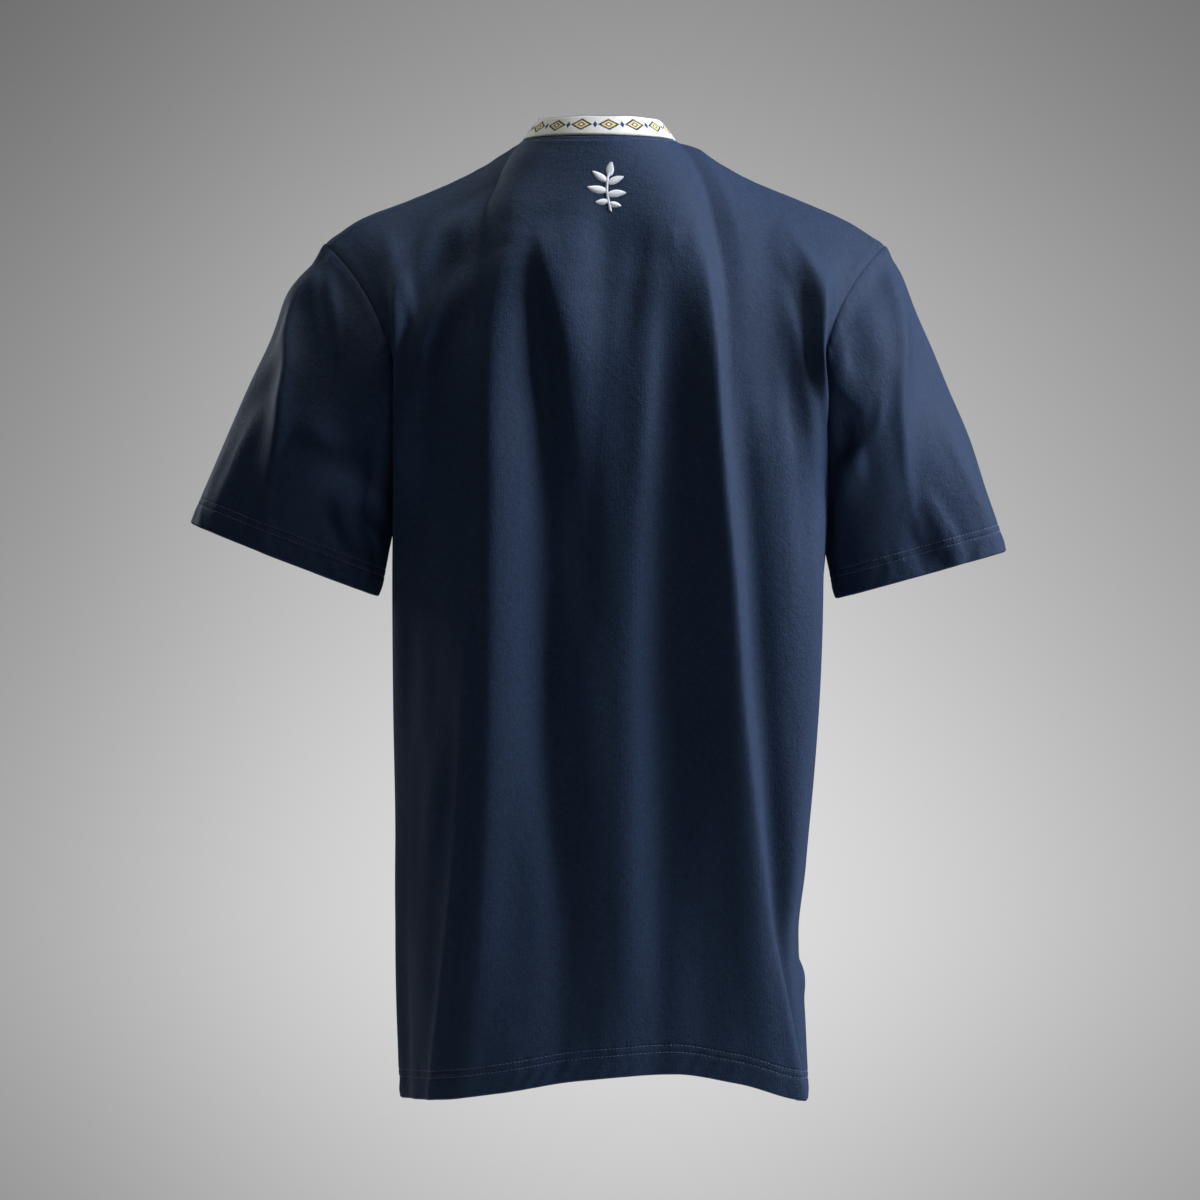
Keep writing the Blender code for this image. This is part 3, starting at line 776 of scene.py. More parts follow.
@dataclass(frozen=True)
class Jacquard:
    """The collar band: a cream knit ground with a worked-in row of outlined lozenges."""

    name: str = "cream_jacquard"
    ground: Colour = (0.88, 0.86, 0.78)
    shade: Colour = (0.72, 0.69, 0.60)
    gold: Colour = (0.80, 0.66, 0.24)
    outline: Colour = (0.018, 0.018, 0.026)
    navy: Colour = (0.020, 0.032, 0.140)
    tipping: Colour = (0.014, 0.022, 0.060)
    stitch: float = 0.42 * MM  # the knit's own step, which gives the figures their stair edges
    repeat: float = 25 * MM
    middle: float = 9.8 * MM  # the height of the figures' row on the band
    half_length: float = 8.6 * MM
    half_height: float = 4.9 * MM
    eye_length: float = 0.34  # shares of the lozenge
    eye_height: float = 0.40
    ring: float = 0.17  # half the outlines' width, as a share of the lozenge and of the eye
    eye_ring: float = 0.28
    diamond_half_length: float = 2.1 * MM
    diamond_half_height: float = 3.4 * MM
    tipping_from: float = 18.3 * MM
    tipping_to: float = 24.5 * MM
    wale: float = 0.84 * MM
    course: float = 0.70 * MM

    def pattern(self, board: Board) -> Shade:
        """Draws lozenges with an eye, a diamond between them and the navy edge.

        Args:
            board: the finish's nodes.

        Returns:
            The band's colour.
        """
        across, along = board.weave()
        u = (across / self.stitch).maths("ROUND") * self.stitch
        v = (along / self.stitch).maths("ROUND") * self.stitch - self.middle
        up = abs(v)
        out = abs((u / self.repeat).maths("FRACT") - 0.5) * self.repeat
        between = self.repeat / 2 - out
        lozenge = out / self.half_length + up / self.half_height
        eye = out / (self.half_length * self.eye_length) + up / (self.half_height * self.eye_height)
        diamond = between / self.diamond_half_length + up / self.diamond_half_height
        ring = abs(lozenge - 1.0).below(self.ring)
        colour = board.blend(board.noise(1.3 * MM, 3) * 0.7, self.ground, self.shade)
        colour = board.blend(lozenge.below(1.0), colour, self.gold)
        colour = board.blend(ring, colour, self.outline)
        colour = board.blend(eye.below(1.0), colour, self.ground)
        colour = board.blend(abs(eye - 1.0).below(self.eye_ring), colour, self.outline)
        colour = board.blend(diamond.below(1.0), colour, self.navy)
        tipped = along.above(self.tipping_from) * along.below(self.tipping_to)
        return board.blend(tipped, colour, self.tipping)

    def material(self) -> bpy.types.Material:
        """Makes the finish.

        Returns:
            The material.
        """
        board = Board.material(self.name)
        knit = board.knit(self.wale, self.course)
        height = knit * (0.20 * MM) + board.noise(1.5 * MM, 3) * (0.25 * MM)
        sockets = {
            "Base Color": self.pattern(board),
            "Roughness": 0.85 - knit * 0.1,
            "Specular IOR Level": 0.3,
            "Sheen Weight": 0.2,
            "Sheen Roughness": 0.4,
        }
        return board.finish(height, sockets)


@dataclass(frozen=True)
class Thread:
    """Sewing or embroidery thread: two plies twisted round each other."""

    name: str
    colour: Colour
    dark: Colour
    roughness: float
    sheen: float
    twist: float = 0.9 * MM

    def material(self) -> bpy.types.Material:
        """Makes the finish.

        Returns:
            The material.
        """
        board = Board.material(self.name)
        across, along = board.weave()
        plies = (along / self.twist + across).wave()
        fuzz = board.noise(0.5 * MM, 3)
        # the colour is darker where the plies dip: painted shade in the grooves between them, mixed
        # with random fuzz
        colour = board.blend(plies * 0.6 + fuzz * 0.4, self.dark, self.colour)
        sockets = {
            "Base Color": colour,
            "Roughness": self.roughness,
            "Specular IOR Level": 0.4,
            "Sheen Weight": self.sheen,
            "Sheen Roughness": 0.3,
        }
        return board.finish(plies * (0.06 * MM), sockets)


@dataclass(frozen=True)
class Plain:
    """The studio floor: a pale matt surface with a little unevenness."""

    name: str
    colour: Colour
    darkest: float = 0.94  # as a share of the colour

    def material(self) -> bpy.types.Material:
        """Makes the finish.

        Returns:
            The material.
        """
        board = Board.material(self.name)
        darker = tuple(c * self.darkest for c in self.colour)
        sockets = {
            "Base Color": board.blend(board.noise(0.6, 2), darker, self.colour),
            "Roughness": 1.0,
            "Specular IOR Level": 0.1,
        }
        return board.finish(board.noise(0.02, 2) * (0.1 * MM), sockets)


# ---- the shirt's own form


@dataclass(frozen=True)
class Station:
    """A level section of the body below the underarm, in millimetres."""

    height: float
    left: float
    right: float
    back: float
    front: float
    squareness: float


@dataclass(frozen=True)
class ArmSide:
    """What differs between the wearer's left and right, in millimetres."""

    hand: Hand
    node: str
    tip: Pair  # (out, height) of the shoulder seam's outer end
    cuff_outer: Pair
    cuff_inner: Pair
    cuff_half_depth: float
    cuff_middle: float
    lift: float
    shoulder_drop: tuple[float, ...]


LEFT_ARM = ArmSide(
    Hand.LEFT,
    "sleeve_left",
    tip=(229, -77),
    cuff_outer=(339, -306),
    cuff_inner=(186, -366),
    cuff_half_depth=58,
    cuff_middle=-4,
    lift=0.50,
    shoulder_drop=(0.0, 0.12, 0.21, 0.39, 0.585, 0.76, 1.0),
)
RIGHT_ARM = ArmSide(
    Hand.RIGHT,
    "sleeve_right",
    tip=(231, -79),
    cuff_outer=(330, -329),
    cuff_inner=(190, -368),
    cuff_half_depth=58,
    cuff_middle=-2,
    lift=0.38,
    shoulder_drop=(0.0, 0.057, 0.157, 0.36, 0.56, 0.765, 1.0),
)


@dataclass
class BodyForm:
    """The body's form before its folds, from the same named sizes as the solids."""

    neck_half_width: float = 63 * MM
    neck_shift: float = 4 * MM
    neck_side_height: float = 6 * MM
    neck_drop_power: float = 1.35
    neck_depth: dict = field(
        default_factory=lambda: {Face.BACK: (66 * MM, 2 * MM), Face.FRONT: (84 * MM, -74 * MM)}
    )
    neck_share: float = 18 / 46  # the share of a panel's columns that end at the neckline
    neck_fades: float = 0.85  # the share of the shoulder over which the neck's pull fades
    underarm: float = -250 * MM
    yoke_dip: float = 50 * MM
    hem_width: float = 25 * MM
    half_arc: float = 250.0  # a panel's middle to its side, in millimetres
    pull: float = 300  # how hard the yoke's cubics are pulled away from the wearer
    nape_pull: dict = field(default_factory=lambda: {Face.BACK: 180, Face.FRONT: 210})
    neck_pull: float = 60  # how much less it is beside the neck
    fall: float = 170  # how hard they are pulled down, and how much more at two places
    shoulder_fall: float = 30
    nape_fall: float = 90
    neck_outward: float = 140  # how hard they are pulled out, and how much less at the tips
    tip_inward: float = 200
    foot_fall: float = 280  # how hard they arrive at the yoke's foot, and how much less at its sides
    side_lift: float = 170
    tip_power: float = 2.5
    side_power: float = 3.2
    shoulder_out: tuple = (0.0, 0.10, 0.17, 0.35, 0.59, 0.82, 1.0)
    stations: tuple[Station, ...] = (
        Station(-250, 161, 170, 127, 134, 2.60),
        Station(-330, 161, 166, 128, 135, 2.65),
        Station(-450, 160, 162, 127, 131, 2.70),
        Station(-580, 160, 154, 128, 128, 2.70),
        Station(-640, 159, 146, 129, 128, 2.70),
        Station(-690, 158, 150, 130, 128, 2.65),
        Station(-775, 155, 156, 133, 130, 2.60),
    )
    hem_across: tuple = (-250, -190, -140, -100, -55, 20, 80, 150, 250)
    hem_back: tuple = (-775, -768, -762, -747, -739, -744, -754, -764, -775)
    hem_front: tuple = (-775, -777, -772, -768, -770, -766, -768, -773, -775)

    def level(self, face: Face, height: Array, angle: Array) -> tuple[Array, Array]:
        """A place on the body's level section.

        Args:
            face: back or front.
            height: metres.
            angle: from the panel's middle.

        Returns:
            X and Y.
        """
        knots = [s.height for s in self.stations]

        def read(name: str) -> Array:
            """One column of the stations at these heights."""
            return smooth_through(knots, [getattr(s, name) for s in self.stations], height / MM)

        half_width = np.where(angle < 0, read("right"), read("left")) * MM
        depth = read("back" if face is Face.BACK else "front") * MM
        square = read("squareness")
        across, away = np.abs(np.sin(angle)) / half_width, np.abs(np.cos(angle)) / depth
        radius = (across**square + away**square) ** (-1 / square)
        return radius * np.sin(angle), face.value * radius * np.cos(angle)

    def angles(self, face: Face, across: Array) -> Array:
        """Spaces the columns evenly round the body.

        Args:
            face: back or front.
            across: the columns, from -1 to 1.

        Returns:
            Each column's angle from the panel's middle.
        """
        angle = np.linspace(-math.pi / 2, math.pi / 2, 160)
        x, y = self.level(face, np.full_like(angle, self.underarm), angle)
        arc = np.concatenate([[0], np.cumsum(np.hypot(np.diff(x), np.diff(y)))])
        middle = np.interp(0, angle, arc)
        share = np.where(arc < middle, arc / middle - 1, (arc - middle) / (arc[-1] - middle))
        return np.interp(across, share, angle)

    def top_edge(self, face: Face, across: Array) -> Array:
        """Draws the panel's upper edge: shoulder seam, neckline, shoulder seam.

        Args:
            face: back or front.
            across: the columns, from -1 to 1.

        Returns:
            (columns, 3).
        """
        points = []
        for place in across:
            arm = LEFT_ARM if place >= 0 else RIGHT_ARM
            sign, out = arm.hand.value, abs(place)
            if out <= self.neck_share:
                angle = out / self.neck_share * math.pi / 2
                flat, wide = max(math.cos(angle), 0), math.sin(angle)
                depth, middle = self.neck_depth[face]
                drop = (middle - self.neck_side_height) * flat**self.neck_drop_power
                x = self.neck_shift + sign * self.neck_half_width * wide
                points.append((x, face.value * depth * flat, self.neck_side_height + drop))
            else:
                share = (out - self.neck_share) / (1 - self.neck_share)
                start = self.neck_shift + sign * self.neck_half_width
                x = start + (sign * arm.tip[0] * MM - start) * share
                drop = smooth_through(self.shoulder_out, arm.shoulder_drop, share)
                fall = (arm.tip[1] * MM - self.neck_side_height) * drop
                points.append((x, 0, self.neck_side_height + fall))
        return np.array(points, float)

    def yoke_foot(self, across: Array) -> Array:
        """The height where the yoke ends."""
        in_from_side = (1 - np.abs(across)) * self.half_arc * MM
        return self.underarm - self.yoke_dip * (1 - np.exp(-in_from_side / self.yoke_dip))

    def yoke_tangents(self, face: Face, across: Array) -> tuple[Array, Array]:
        """Works out how the yoke's cubics leave the upper edge and arrive at the yoke's foot.

        Args:
            face: back or front.
            across: the columns, from -1 to 1.

        Returns:
            The two tangents of each column, both (columns, 3).
        """
        out, sign = np.abs(across), np.where(across < 0, -1, 1)
        shoulder = np.clip((out - self.neck_share) / (1 - self.neck_share), 0, 1)
        to_end = np.clip(out / self.neck_share, 0, 1)
        nape = ramp(1 - to_end)
        beside = np.where(out < self.neck_share, to_end**2, 1 - ramp(shoulder / self.neck_fades))
        tip, side = shoulder**self.tip_power, out**self.side_power
        away = self.pull - self.nape_pull[face] * nape - self.neck_pull * beside
        fall = self.fall + self.shoulder_fall * shoulder + self.nape_fall * nape
        outward = self.neck_outward * beside - self.tip_inward * tip
        leaving = np.stack([sign * outward, face.value * away, -fall], axis=1)
        down = -self.foot_fall + self.side_lift * side
        arriving = np.stack([0 * side, -face.value * self.pull * side, down], axis=1)
        return leaving * MM, arriving * MM

    def hem_height(self, face: Face, across: Array) -> Array:
        """The hem's height across a panel."""
        heights = self.hem_back if face is Face.BACK else self.hem_front
        return smooth_through(self.hem_across, heights, across * self.half_arc) * MM

    def panel(self, face: Face, across: Array, yoke: Array, skirt: Array, hem: Array) -> Array:
        """A panel's outer face before its folds.

        Args:
            face: back or front.
            across: the columns, from -1 to 1.
            yoke: rows from the upper edge (0) to the yoke's foot (1).
            skirt: rows from there to the hem's stitching, above 0 and up to 1.
            hem: rows below that, as distances from the hem's edge in metres, falling to 0.

        Returns:
            (rows, columns, 3).
        """
        angles = self.angles(face, across)
        foot, edge = self.yoke_foot(across), self.hem_height(face, across)
        top = self.top_edge(face, across)
        bottom = np.stack([*self.level(face, foot, angles), foot], axis=1)
        leaving, arriving = self.yoke_tangents(face, across)
        rows = [hermite(top, bottom, leaving, arriving, t) for t in yoke]
        heights = [foot + (edge + self.hem_width - foot) * t for t in skirt]
        heights += [edge + rise for rise in hem]
        for height in heights:
            rows.append(np.stack([*self.level(face, height, angles), height], axis=1))
        return np.array(rows)


# Where the rows and columns lie, in millimetres
SEAM_LINES = (0, 0.7, 1.5, 2.5, 3.8, 5.2, 6.8, 8.8)
TOP_LINES = (0, 0.6, 1.3, 2.1, 2.9, 3.5, 4.0, 4.5, 5.2, 6.2, 7.6, 9.6, 12)
HEM_LINES = (24.2, 23.3, 22.5, 22.0, 21.5, 20.6, 19.2, 17.8, 16.9, 16.4, 15.9, 15.0, 13.4)
HEM_LINES += (11.4, 9.2, 6.9, 4.6, 2.6, 1.2, 0.4, 0)
STEP = 3.4
YOKE_RUN = 300  # how long the yoke is, roughly
SKIRT_RUN = 450


# ---- creases

BACK_FOLDS = (
    Fold(  # left edge
        ((222, -62), (213, -88), (206, -108), (209, -170), (212, -330), (211, -540), (209, -800)),
        (0, 3, 6, 10, 12, 12, 11), (16, 30), 1.7,
    ),
    Fold(((112, -56), (160, -96), (195, -130), (222, -196)), (0, 5, 6, 0), (14, 14)),  # left drag
    Fold(((74, -88), (120, -130), (158, -164), (172, -240)), (0, 5, 6, 0), (14, 14)),
    Fold(((124, -46), (114, -70), (104, -104)), (0, 6, 0), (22, 36)),
    Fold(  # left pipe
        (
            (66, -74), (78, -112), (85, -160), (89, -230), (91, -310), (93, -450), (98, -600),
            (110, -700), (124, -800),
        ),
        (0, 7, 10, 12, 14, 15, 13, 13, 13), (38, 22), 1.7,
    ),
    Fold(  # left trough
        (
            (44, -72), (42, -117), (44, -177), (47, -290), (47, -384), (44, -496), (34, -620),
            (34, -760),
        ),
        (0, -4, -6, -7, -7, -6, -6, 0), (16, 26),
    ),
    Fold(  # nape pipe, which fades out
        ((42, -70), (39, -104), (35, -140), (28, -190), (20, -240), (12, -320)),
        (0, 8, 12, 9, 5, 0), (12, 30), 1.5,
    ),
    Fold(((-6, -26), (-8, -52), (-8, -80), (-8, -120)), (0, -2.5, -3, 0), (14, 36)),  # nape hollow
    Fold(((56, -27), (54, -60), (46, -92), (36, -134)), (0, 4, 5, 0), (28, 60)),  # nape's left
    Fold(  # spine trough
        ((-10, -66), (-10, -134), (-4, -214), (4, -330), (6, -440)),
        (0, -6, -6, -4, 0), (18, 25),
    ),
    Fold(  # middle pipe
        ((-36, -96), (-32, -176), (-29, -240), (-24, -310), (-15, -450), (-15, -607), (-16, -800)),
        (0, 4.6, 5.4, 5, 3.6, 0.5, -4), (40, 20),
    ),
    Fold(  # right trough
        (
            (-46, -70), (-50, -118), (-52, -165), (-54, -230), (-52, -310), (-49, -450),
            (-49, -607), (-54, -800),
        ),
        (0, -3, -8, -11, -10, -10, -9, -4), (18, 36),
    ),
    Fold(  # fullness beyond the right pipe
        ((-150, -200), (-164, -300), (-170, -450), (-176, -620), (-184, -800)),
        (0, 6, 9, 8, 5), (26, 26), 2.4,
    ),
    Fold(  # right pipe
        (
            (-84, -72), (-86, -137), (-88, -215), (-95, -308), (-107, -450), (-124, -607),
            (-137, -700), (-150, -800),
        ),
        (0, 7, 11, 12, 13, 13, 13, 12), (27, 30), 1.7,
    ),
    Fold(  # right hollow
        ((-150, -150), (-166, -213), (-174, -300), (-180, -380)),
        (0, -4, -2, 0), (15, 17),
    ),
    Fold(  # right blade
        ((-158, -68), (-172, -82), (-192, -110), (-212, -134), (-222, -170), (-220, -230)),
        (0, 5, 8, 8, 6, 0), (15, 16),
    ),
    Fold(((-168, -96), (-184, -130), (-198, -168), (-202, -260)), (0, -5, -5, 0), (15, 14)),
    Fold(  # right edge
        (
            (-212, -72), (-212, -110), (-212, -170), (-211, -290), (-210, -500), (-208, -610),
            (-210, -800),
        ),
        (0, 4, 8, 13, 9, 6, 5), (42, 16), 1.9,
    ),
    Fold(  # foot of the right pipe
        ((-104, -450), (-118, -580), (-130, -680), (-144, -800)), (0, 5, 13, 22), (66, 14)
    ),
)

# These are raised straight back, which squares the flank and leaves its outline
BACK_FLANKS = (
    Fold(  # right flank
        (
            (-214, -110), (-220, -150), (-222, -190), (-214, -230), (-204, -280), (-196, -340),
            (-191, -450), (-189, -607), (-192, -800),
        ),
        (0, 5, 9, 12, 15, 18, 20, 19, 12), (40, 12), 2.0,
    ),
)

BACK_CREASES = (
    Fold(((215, -57), (208, -81), (208, -108)), (0, 1.8, 0), (6, 6)),
    Fold(((190, -108), (178, -136), (166, -166)), (0, 2.6, 0), (9, 6)),
    Fold(((112, -112), (138, -146), (152, -182), (156, -220)), (0, 3.6, 3.2, 0), (10, 6), 1.6),
    Fold(  # nape crest, which ends short
        ((46, -74), (42, -104), (37, -134), (30, -168), (25, -200)),
        (0, 2.6, 3.8, 3.2, 0), (5, 14), 1.5,
    ),
    Fold(((-34, -62), (-28, -104), (-21, -146), (-16, -190)), (0, -2.4, -2.0, 0), (8, 6)),
    Fold(  # middle crest
        ((-44, -96), (-38, -142), (-33, -215), (-27, -300), (-20, -400)),
        (0, 2.0, 2.2, 1.2, 0), (8, 7), 1.6,
    ),
    Fold(((-56, -80), (-55, -108)), (0.9, 0), (3.5, 3.5)),
    Fold(((-76, -72), (-70, -104)), (1.1, 0), (3.5, 3.5)),
    Fold(  # right crest
        (
            (-78, -74), (-81, -137), (-87, -215), (-96, -308), (-107, -450), (-124, -607),
            (-137, -700), (-149, -800),
        ),
        (0, 8.0, 11.5, 12.0, 10.0, 8.4, 7.8, 7.0), (13, 7.0), 1.35, 0.14,
    ),
    Fold(  # the hollow beyond it
        (
            (-103, -180), (-110, -250), (-115, -308), (-126, -450), (-143, -607), (-154, -700),
            (-164, -800),
        ),
        (0, -4, -6.5, -7, -7, -6, -4), (20, 10),
    ),
    Fold(  # its inner flank
        ((-97, -330), (-100, -450), (-107, -568), (-116, -684), (-122, -790)),
        (0, 1.2, 2.2, 2.2, 1.5), (9, 8),
    ),
    Fold(((-158, -70), (-180, -101), (-200, -134), (-216, -164)), (0, -3.4, -3.4, 0), (9, 8)),
    Fold(((-148, -150), (-150, -200), (-145, -256)), (0, 1.3, 0), (9, 8)),
    Fold(((-168, -180), (-172, -226), (-170, -270)), (0, -2.8, 0), (11, 11)),
    Fold(  # left crest
        (
            (76, -92), (83, -140), (88, -225), (91, -310), (93, -450), (98, -600), (108, -690),
            (118, -790),
        ),
        (0, 4.6, 5.0, 5.2, 4.6, 3.0, 2.4, 2.2), (10, 13), 1.5, 0.2,
    ),
    Fold(  # thin ridge beyond the left crest
        ((100, -320), (110, -457), (117, -558), (127, -655), (144, -763), (148, -800)),
        (0, 2.4, 2.8, 2.8, 2.6, 2.0), (6, 4), 1.6,
    ),
    Fold(  # dark gap between them
        ((97, -360), (104, -480), (110, -575), (119, -672), (131, -780)),
        (0, -2.2, -2.4, -2.4, 0), (4.5, 4.5),
    ),
    Fold(  # foot of the lit column
        (
            (43, -104), (43, -160), (46, -250), (48, -338), (47, -447), (42, -543), (32, -620),
            (34, -700), (40, -790),
        ),
        (0, -3.0, -3.0, -2.6, -2.4, -2.0, -2.0, -2.0, -1.2), (10, 8), 1.7,
    ),
    Fold(  # second column's crest
        ((-20, -340), (-15, -450), (-15, -600), (-16, -714), (-18, -790)),
        (0, 0.8, 0.8, 0.4, 0), (9, 12), 1.7,
    ),
    Fold(  # second column's foot
        ((-50, -300), (-49, -400), (-48, -520), (-48, -640), (-52, -740)),
        (0, -1.0, -1.5, -1.5, 0), (10, 9), 1.7,
    ),
    Fold(((-226, -606), (-220, -644), (-202, -668), (-182, -688)), (0, 2.6, 2.8, 0), (6, 6)),
    Fold(((-214, -600), (-208, -640), (-192, -664)), (0, -2.6, 0), (6, 7)),
    Fold(  # right side's ridge
        ((-220, -76), (-228, -110), (-236, -180), (-238, -240), (-230, -320), (-226, -400)),
        (0, 2.6, 5.0, 7.0, 6.0, 0), (12, 8),
    ),
    Fold(((64, -60), (70, -100), (76, -150)), (0, 1.2, 0), (9, 9)),
    Fold(((128, -470), (150, -540), (160, -640), (152, -740)), (0, 1.8, 1.8, 0), (12, 10)),
    Fold(((176, -330), (180, -430), (172, -540)), (0, -1.8, 0), (10, 12)),
    Fold(((8, -620), (4, -700), (10, -790)), (0, 1.0, 1.0), (9, 9)),
    Fold(((196, -420), (190, -560), (196, -700), (192, -800)), (0, -2.6, -3.4, -2.6), (10, 10)),
)

FRONT_FOLDS = (
    Fold(
        ((220, -64), (208, -100), (208, -180), (210, -330), (208, -560), (206, -800)),
        (0, 4, 9, 11, 12, 12), (16, 30), 1.7,
    ),
    Fold(
        ((-220, -66), (-208, -104), (-208, -190), (-210, -350), (-208, -560), (-206, -800)),
        (0, 4, 9, 12, 12, 12), (30, 16), 1.7,
    ),
    Fold(((124, -62), (160, -92), (192, -132), (214, -190)), (0, 4, 5, 0), (16, 18)),
    Fold(((-128, -66), (-166, -98), (-196, -140), (-216, -200)), (0, 4, 5, 0), (18, 16)),
    Fold(
        ((132, -130), (122, -240), (108, -430), (98, -620), (92, -800)),
        (0, 6, 10, 12, 13), (36, 30),
    ),
    Fold(((78, -170), (66, -320), (52, -500), (44, -800)), (0, -6, -9, -10), (20, 24)),
    Fold(((34, -210), (22, -360), (6, -560), (-4, -800)), (0, 7, 10, 11), (30, 30)),
    Fold(((-48, -180), (-54, -330), (-60, -540), (-64, -800)), (0, -7, -10, -10), (22, 20)),
    Fold(
        ((-120, -120), (-110, -250), (-104, -420), (-112, -620), (-122, -800)),
        (0, 7, 11, 12, 12), (26, 38),
    ),
)

FRONT_CREASES = (
    Fold(((196, -70), (184, -112), (172, -170)), (0, 1.8, 0), (8, 6)),
    Fold(((-192, -74), (-182, -118), (-168, -172)), (0, 1.8, 0), (6, 8)),
    Fold(((96, -84), (126, -128), (140, -186)), (0, 2.0, 0), (9, 7)),
    Fold(((-100, -88), (-128, -136), (-142, -200)), (0, 2.0, 0), (7, 9)),
    Fold(((60, -120), (52, -220), (44, -330)), (0, 2.4, 0), (8, 9)),
    Fold(((-30, -130), (-34, -230), (-30, -340)), (0, 2.2, 0), (9, 8)),
    Fold(
        ((118, -260), (110, -390), (100, -540), (96, -680), (92, -790)),
        (0, 3.0, 3.4, 3.0, 2.4), (7, 15), 1.5,
    ),
    Fold(
        ((-112, -250), (-104, -390), (-106, -540), (-116, -680), (-124, -790)),
        (0, 3.2, 3.6, 3.4, 2.6), (15, 7), 1.5,
    ),
    Fold(((70, -330), (56, -480), (48, -640), (46, -780)), (0, -2.6, -2.8, 0), (12, 8)),
    Fold(((-56, -340), (-60, -500), (-64, -660), (-62, -780)), (0, -2.6, -2.8, 0), (8, 12)),
    Fold(((26, -300), (14, -440), (2, -600), (-4, -780)), (0, 2.2, 2.6, 1.6), (8, 10)),
    Fold(((150, -420), (158, -540), (150, -680)), (0, 2.0, 0), (10, 10)),
    Fold(((-160, -360), (-170, -500), (-164, -640)), (0, 2.0, 0), (10, 10)),
    Fold(((-210, -560), (-192, -610), (-166, -640)), (0, 2.2, 0), (7, 7)),
    Fold(((228, -120), (234, -200), (228, -330)), (0, 2.4, 0), (8, 7)),
    Fold(((-228, -120), (-234, -210), (-226, -350)), (0, 2.4, 0), (7, 8)),
    Fold(((232, -380), (226, -500), (231, -640), (226, -790)), (0, 4, 5.5, 4), (10, 9)),
    Fold(((-231, -360), (-226, -500), (-232, -650), (-228, -790)), (0, 4, 5.5, 4), (9, 10)),
    Fold(((198, -420), (188, -560), (192, -760)), (0, -4.5, -4), (12, 10)),
    Fold(((-196, -400), (-186, -560), (-190, -760)), (0, -4.5, -4), (10, 12)),
)

LEFT_SLEEVE_FOLDS = (
    Fold(
        ((2, 20), (8, 52), (17, 70), (33, 88), (54, 118), (66, 143), (77, 168), (84, 230)),
        (0, 4, 6, 7, 7, 7, 6, 4), (20, 13), 1.7,
    ),
    Fold(((12, 6), (34, 26), (57, 47)), (0, 3, 0), (11, 11)),
    Fold(((56, 111), (78, 103), (98, 90), (114, 82), (130, 73)), (0, 6, 8, 6, 0), (18, 22)),
    Fold(((98, 124), (120, 114), (144, 104)), (0, -5, -3), (15, 15)),
    Fold(((340, 16), (322, 80), (314, 150), (318, 280)), (0, 5, 5, 4), (20, 18)),
    Fold(((292, 40), (266, 96), (250, 150)), (0, 6, 0), (24, 24)),
)

RIGHT_SLEEVE_FOLDS = (
    Fold(
        ((5, 10), (15, 34), (24, 51), (36, 70), (50, 85), (62, 105), (76, 134), (84, 165)),
        (0, 6, 10, 10, 8, 5, 2, 0), (16, 38), 1.7,
    ),
    Fold(((86, 60), (86, 110), (84, 150), (80, 190), (76, 235)), (0, -6, -13, -16, -15), (46, 46)),
    Fold(((66, 10), (58, 30), (66, 56)), (0, -4, 0), (14, 14)),
    Fold(((88, 40), (104, 52), (124, 50)), (0, -7, -2), (15, 13)),
    Fold(((134, 52), (118, 72), (98, 84)), (0, 5, 0), (13, 13)),
    Fold(((336, 14), (318, 80), (312, 160), (316, 280)), (0, 5, 5, 4), (20, 18)),
    Fold(((292, 40), (268, 96), (252, 150)), (0, 6, 0), (24, 24)),
)


LEFT_SLEEVE_CREASES = (
    Fold(
        (
            (2, 20), (6, 50), (17, 70), (31, 86), (42, 102), (54, 118), (62, 134), (69, 149),
            (77, 168), (84, 204),
        ),
        (0, 4.4, 6.0, 6.6, 6.6, 6.4, 6.0, 5.4, 4.4, 3.0), (10, 5.5), 1.4,
    ),
    Fold(((8, 6), (30, 29), (46, 42), (58, 58)), (0, 3.0, 2.6, 0), (5, 4.5)),
    Fold(((2, 16), (20, 40), (38, 62)), (0, 2.6, 0), (5, 4.5)),
    Fold(((57, 109), (78, 102), (98, 89), (114, 81), (132, 70)), (0, 3, 4, 3, 0), (9, 12)),
    Fold(((96, 124), (116, 98), (142, 80), (170, 74)), (0, -5.0, -4.6, 0), (9, 9)),
    Fold(((100, 126), (114, 129), (130, 132)), (0, 3.4, 0), (6, 8)),
    Fold(((140, 100), (150, 124), (156, 150)), (0, 2.2, 0), (8, 8)),
    Fold(((24, 120), (34, 160), (40, 220)), (0, 1.6, 1.0), (8, 8)),
    Fold(((318, 60), (304, 110), (300, 170)), (0, 2.2, 0), (8, 7)),
    Fold(((272, 40), (246, 70), (214, 82)), (0, -3.4, 0), (10, 10)),
    Fold(((236, 96), (226, 120), (222, 140)), (0, 2.4, 0), (8, 8)),
    Fold(((196, 30), (184, 60), (176, 96)), (0, 2.2, 0), (9, 9)),
)

